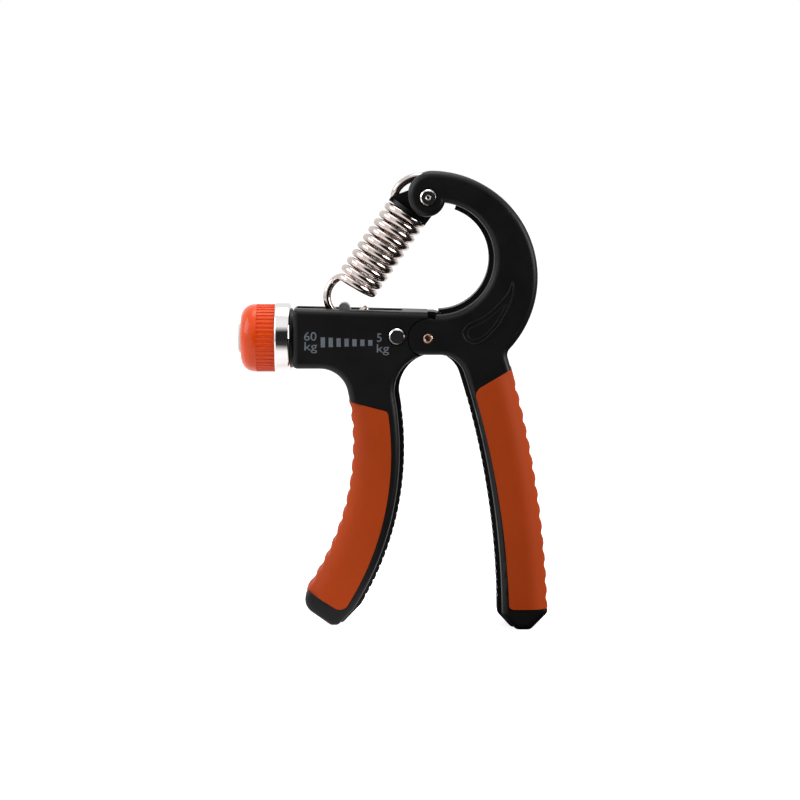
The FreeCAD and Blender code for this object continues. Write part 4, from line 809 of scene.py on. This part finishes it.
class HANDGRIP_OT_print(bpy.types.Operator):
    """Print the load scale on the housing"""

    bl_idname = "hand_grip.print"
    bl_label = "Load Scale"

    def execute(self, context):
        size = context.scene.hand_grip_print
        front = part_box("left_handle")[0].y
        for name, setting, left, foot, widened in SCALE_WORDS:
            self.words(name, getattr(size, setting), left, foot, widened, front, size)
        self.bars(front, size)
        return {"FINISHED"}

    def ink(self, piece):
        """Puts the ink on a piece of the print, which rides on the housing."""
        piece.data.materials.append(finish("scale_ink"))
        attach(piece, "fixed_side")

    def words(self, name, text, left, foot, widened, front, size):
        """A thin word made a mesh, stood up on the front face: the letter's own x runs along +X
        and its own y along +Z."""
        curve = bpy.data.curves.new(name, "FONT")
        curve.body = text
        curve.size = size.height / FIGURE_SHARE
        curve.offset = STROKE_OFFSET * MM
        curve.extrude = size.lift
        curve.resolution_u = 8
        holder = bpy.data.objects.new(name, curve)
        bpy.context.scene.collection.objects.link(holder)
        bpy.context.view_layer.update()
        shown = holder.evaluated_get(bpy.context.evaluated_depsgraph_get())
        mesh = bpy.data.meshes.new_from_object(shown)
        bpy.data.objects.remove(holder)
        flat = np.zeros(len(mesh.vertices) * 3)
        mesh.vertices.foreach_get("co", flat)
        flat = flat.reshape(-1, 3)
        flat[:, 0] *= widened
        stood = np.stack([left * MM + flat[:, 0], front - flat[:, 2], foot * MM + flat[:, 1]], 1)
        mesh.vertices.foreach_set("co", stood.astype(np.float32).ravel())
        mesh.update()
        mesh.name = name
        piece = bpy.data.objects.new(name, mesh)
        bpy.context.scene.collection.objects.link(piece)
        self.ink(piece)

    def bars(self, front, size):
        """Upright bars in one mesh: with k running evenly from 0 at the strong end to 1 at the
        weak end, a bar's left edge is left + k * run, and its middle and its half height fall
        by k times their own fall."""
        k = np.arange(size.bars) / (size.bars - 1)
        left = (BAR_LEFT + k * BAR_RUN) * MM
        middle = (BAR_MIDDLE - k * BAR_MIDDLE_FALL) * MM
        half = (BAR_HALF - k * BAR_HALF_FALL) * MM
        right = left + BAR_WIDTH * MM
        x = np.stack([left, right, right, left], 1)
        z = np.stack([middle - half, middle - half, middle + half, middle + half], 1)
        face = np.stack([x, np.full_like(x, front - size.lift), z], -1)
        back = np.stack([x, np.full_like(x, front + size.lift), z], -1)
        points = np.concatenate([face, back], 1).reshape(-1, 3)
        box = np.array([[0, 1, 2, 3], [7, 6, 5, 4], [0, 4, 5, 1],
                        [1, 5, 6, 2], [2, 6, 7, 3], [3, 7, 4, 0]])
        faces = (np.arange(size.bars)[:, None, None] * 8 + box).reshape(-1, 4).tolist()
        self.ink(mesh_piece("scale_bars", points, faces, smooth=False))


# The leaf on the arm's front, as x and z in mm in the frame of the part.
LEAF_RIM = (
    (24.12, 103.74), (25.40, 101.2), (28.30, 99.92), (31.45, 101.38), (33.63, 103.25),
    (36.46, 106.41), (38.71, 110.37), (40.51, 114.05), (41.34, 117.87), (41.23, 121.35),
    (39.92, 117.87), (38.19, 115.62), (34.56, 111.8), (31.10, 109.19), (26.02, 106.69))
LEAF_VEIN = (
    (25.91, 102.77), (27.64, 101.48), (30.41, 102.25), (33.35, 104.68), (35.94, 107.98),
    (38.02, 111.62), (39.16, 113.53), (37.15, 112.14), (33.87, 109.37), (30.24, 106.94),
    (26.61, 105.2))


class HANDGRIP_OT_arm_leaf(bpy.types.Operator):
    """Raise the leaf-shaped ridge on the moving arm"""

    bl_idname = "hand_grip.arm_leaf"
    bl_label = "Arm Leaf"

    def execute(self, context):
        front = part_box("right_handle")[0].y
        self.ridge("arm_leaf_rim", LEAF_RIM, front, *RIM_SIZE)
        self.ridge("arm_leaf_vein", LEAF_VEIN, front, *VEIN_SIZE)
        return {"FINISHED"}

    def ridge(self, name, line, front, half_width, height):
        """A low rounded ridge: an ellipse, sized in mm, carried along a closed smooth line on
        the arm's front face, half of it sunk in the face."""
        x, z = np.array(line).T
        knots = np.stack([x, np.full_like(x, front / MM), z], 1) * MM
        path = smooth_loop(knots, RIDGE_POINTS)
        angle = np.linspace(0.0, 2 * math.pi, RIDGE_SIDES, endpoint=False)
        outward = np.tile(np.array([0.0, -1.0, 0.0]), (RIDGE_POINTS, 1))
        across = np.tile(height * MM * np.cos(angle), (RIDGE_POINTS, 1))
        up = np.tile(half_width * MM * np.sin(angle), (RIDGE_POINTS, 1))
        piece = swept(name, path, outward, across, up, True)
        piece.data.materials.append(finish("black_plastic"))
        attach(piece, "moving_side")


class HANDGRIP_OT_eyelets(bpy.types.Operator):
    """Turn up the small rings in the rivets' ends"""

    bl_idname = "hand_grip.eyelets"
    bl_label = "Rivet Eyelets"

    def execute(self, context):
        for side, way in (("front", -1.0), ("back", 1.0)):
            for name, rivet, depth, *form in EYELETS:
                self.eyelet(name + side, rivet, way * depth, *form)
        return {"FINISHED"}

    def eyelet(self, name, place, depth, radius, thick, material, body):
        """A ring round the rivet's axis: a circle of half the thickness carried round a circle
        of the radius at one depth, all in mm."""
        centre, outward = arc((place[0], depth, place[1]), radius, 0.0, 360.0, EYELET_POINTS + 1)
        angle = np.linspace(0.0, 2 * math.pi, EYELET_SIDES, endpoint=False)
        across = np.tile(thick * np.cos(angle), (EYELET_POINTS, 1)) * MM
        up = np.tile(thick * np.sin(angle), (EYELET_POINTS, 1)) * MM
        piece = swept(name, centre[:-1] * MM, outward[:-1], across, up, True)
        piece.data.materials.append(finish(material))
        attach(piece, body)


class HANDGRIP_PT_panel(bpy.types.Panel):
    """Lists the pieces and their settings in the sidebar"""

    bl_label = "Hand Grip Strengthener"
    bl_idname = "HANDGRIP_PT_panel"
    bl_space_type = "VIEW_3D"
    bl_region_type = "UI"
    bl_category = "Hand Grip"

    def draw(self, context):
        for operator in OPERATORS:
            self.layout.operator(operator.bl_idname)
        for name, group in SETTINGS:
            box = self.layout.box()
            for label in group.__annotations__:
                box.prop(getattr(context.scene, name), label)


OPERATORS = (
    HANDGRIP_OT_stage,
    HANDGRIP_OT_finishes,
    HANDGRIP_OT_spring,
    HANDGRIP_OT_print,
    HANDGRIP_OT_arm_leaf,
    HANDGRIP_OT_eyelets,
)


def register():
    """Registers the settings, the operators and the panel."""
    for name, group in SETTINGS:
        bpy.utils.register_class(group)
        setattr(bpy.types.Scene, name, bpy.props.PointerProperty(type=group))
    for operator in OPERATORS:
        bpy.utils.register_class(operator)
    bpy.utils.register_class(HANDGRIP_PT_panel)


def unregister():
    """Takes the panel, the operators and the settings away again."""
    bpy.utils.unregister_class(HANDGRIP_PT_panel)
    for operator in reversed(OPERATORS):
        bpy.utils.unregister_class(operator)
    for name, group in reversed(SETTINGS):
        delattr(bpy.types.Scene, name)
        bpy.utils.unregister_class(group)


def main():
    """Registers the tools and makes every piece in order."""
    register()
    bpy.ops.hand_grip.stage()
    bpy.ops.hand_grip.finishes()
    bpy.ops.hand_grip.spring()
    bpy.ops.hand_grip.print()
    bpy.ops.hand_grip.arm_leaf()
    bpy.ops.hand_grip.eyelets()


if __name__ == "__main__":
    main()
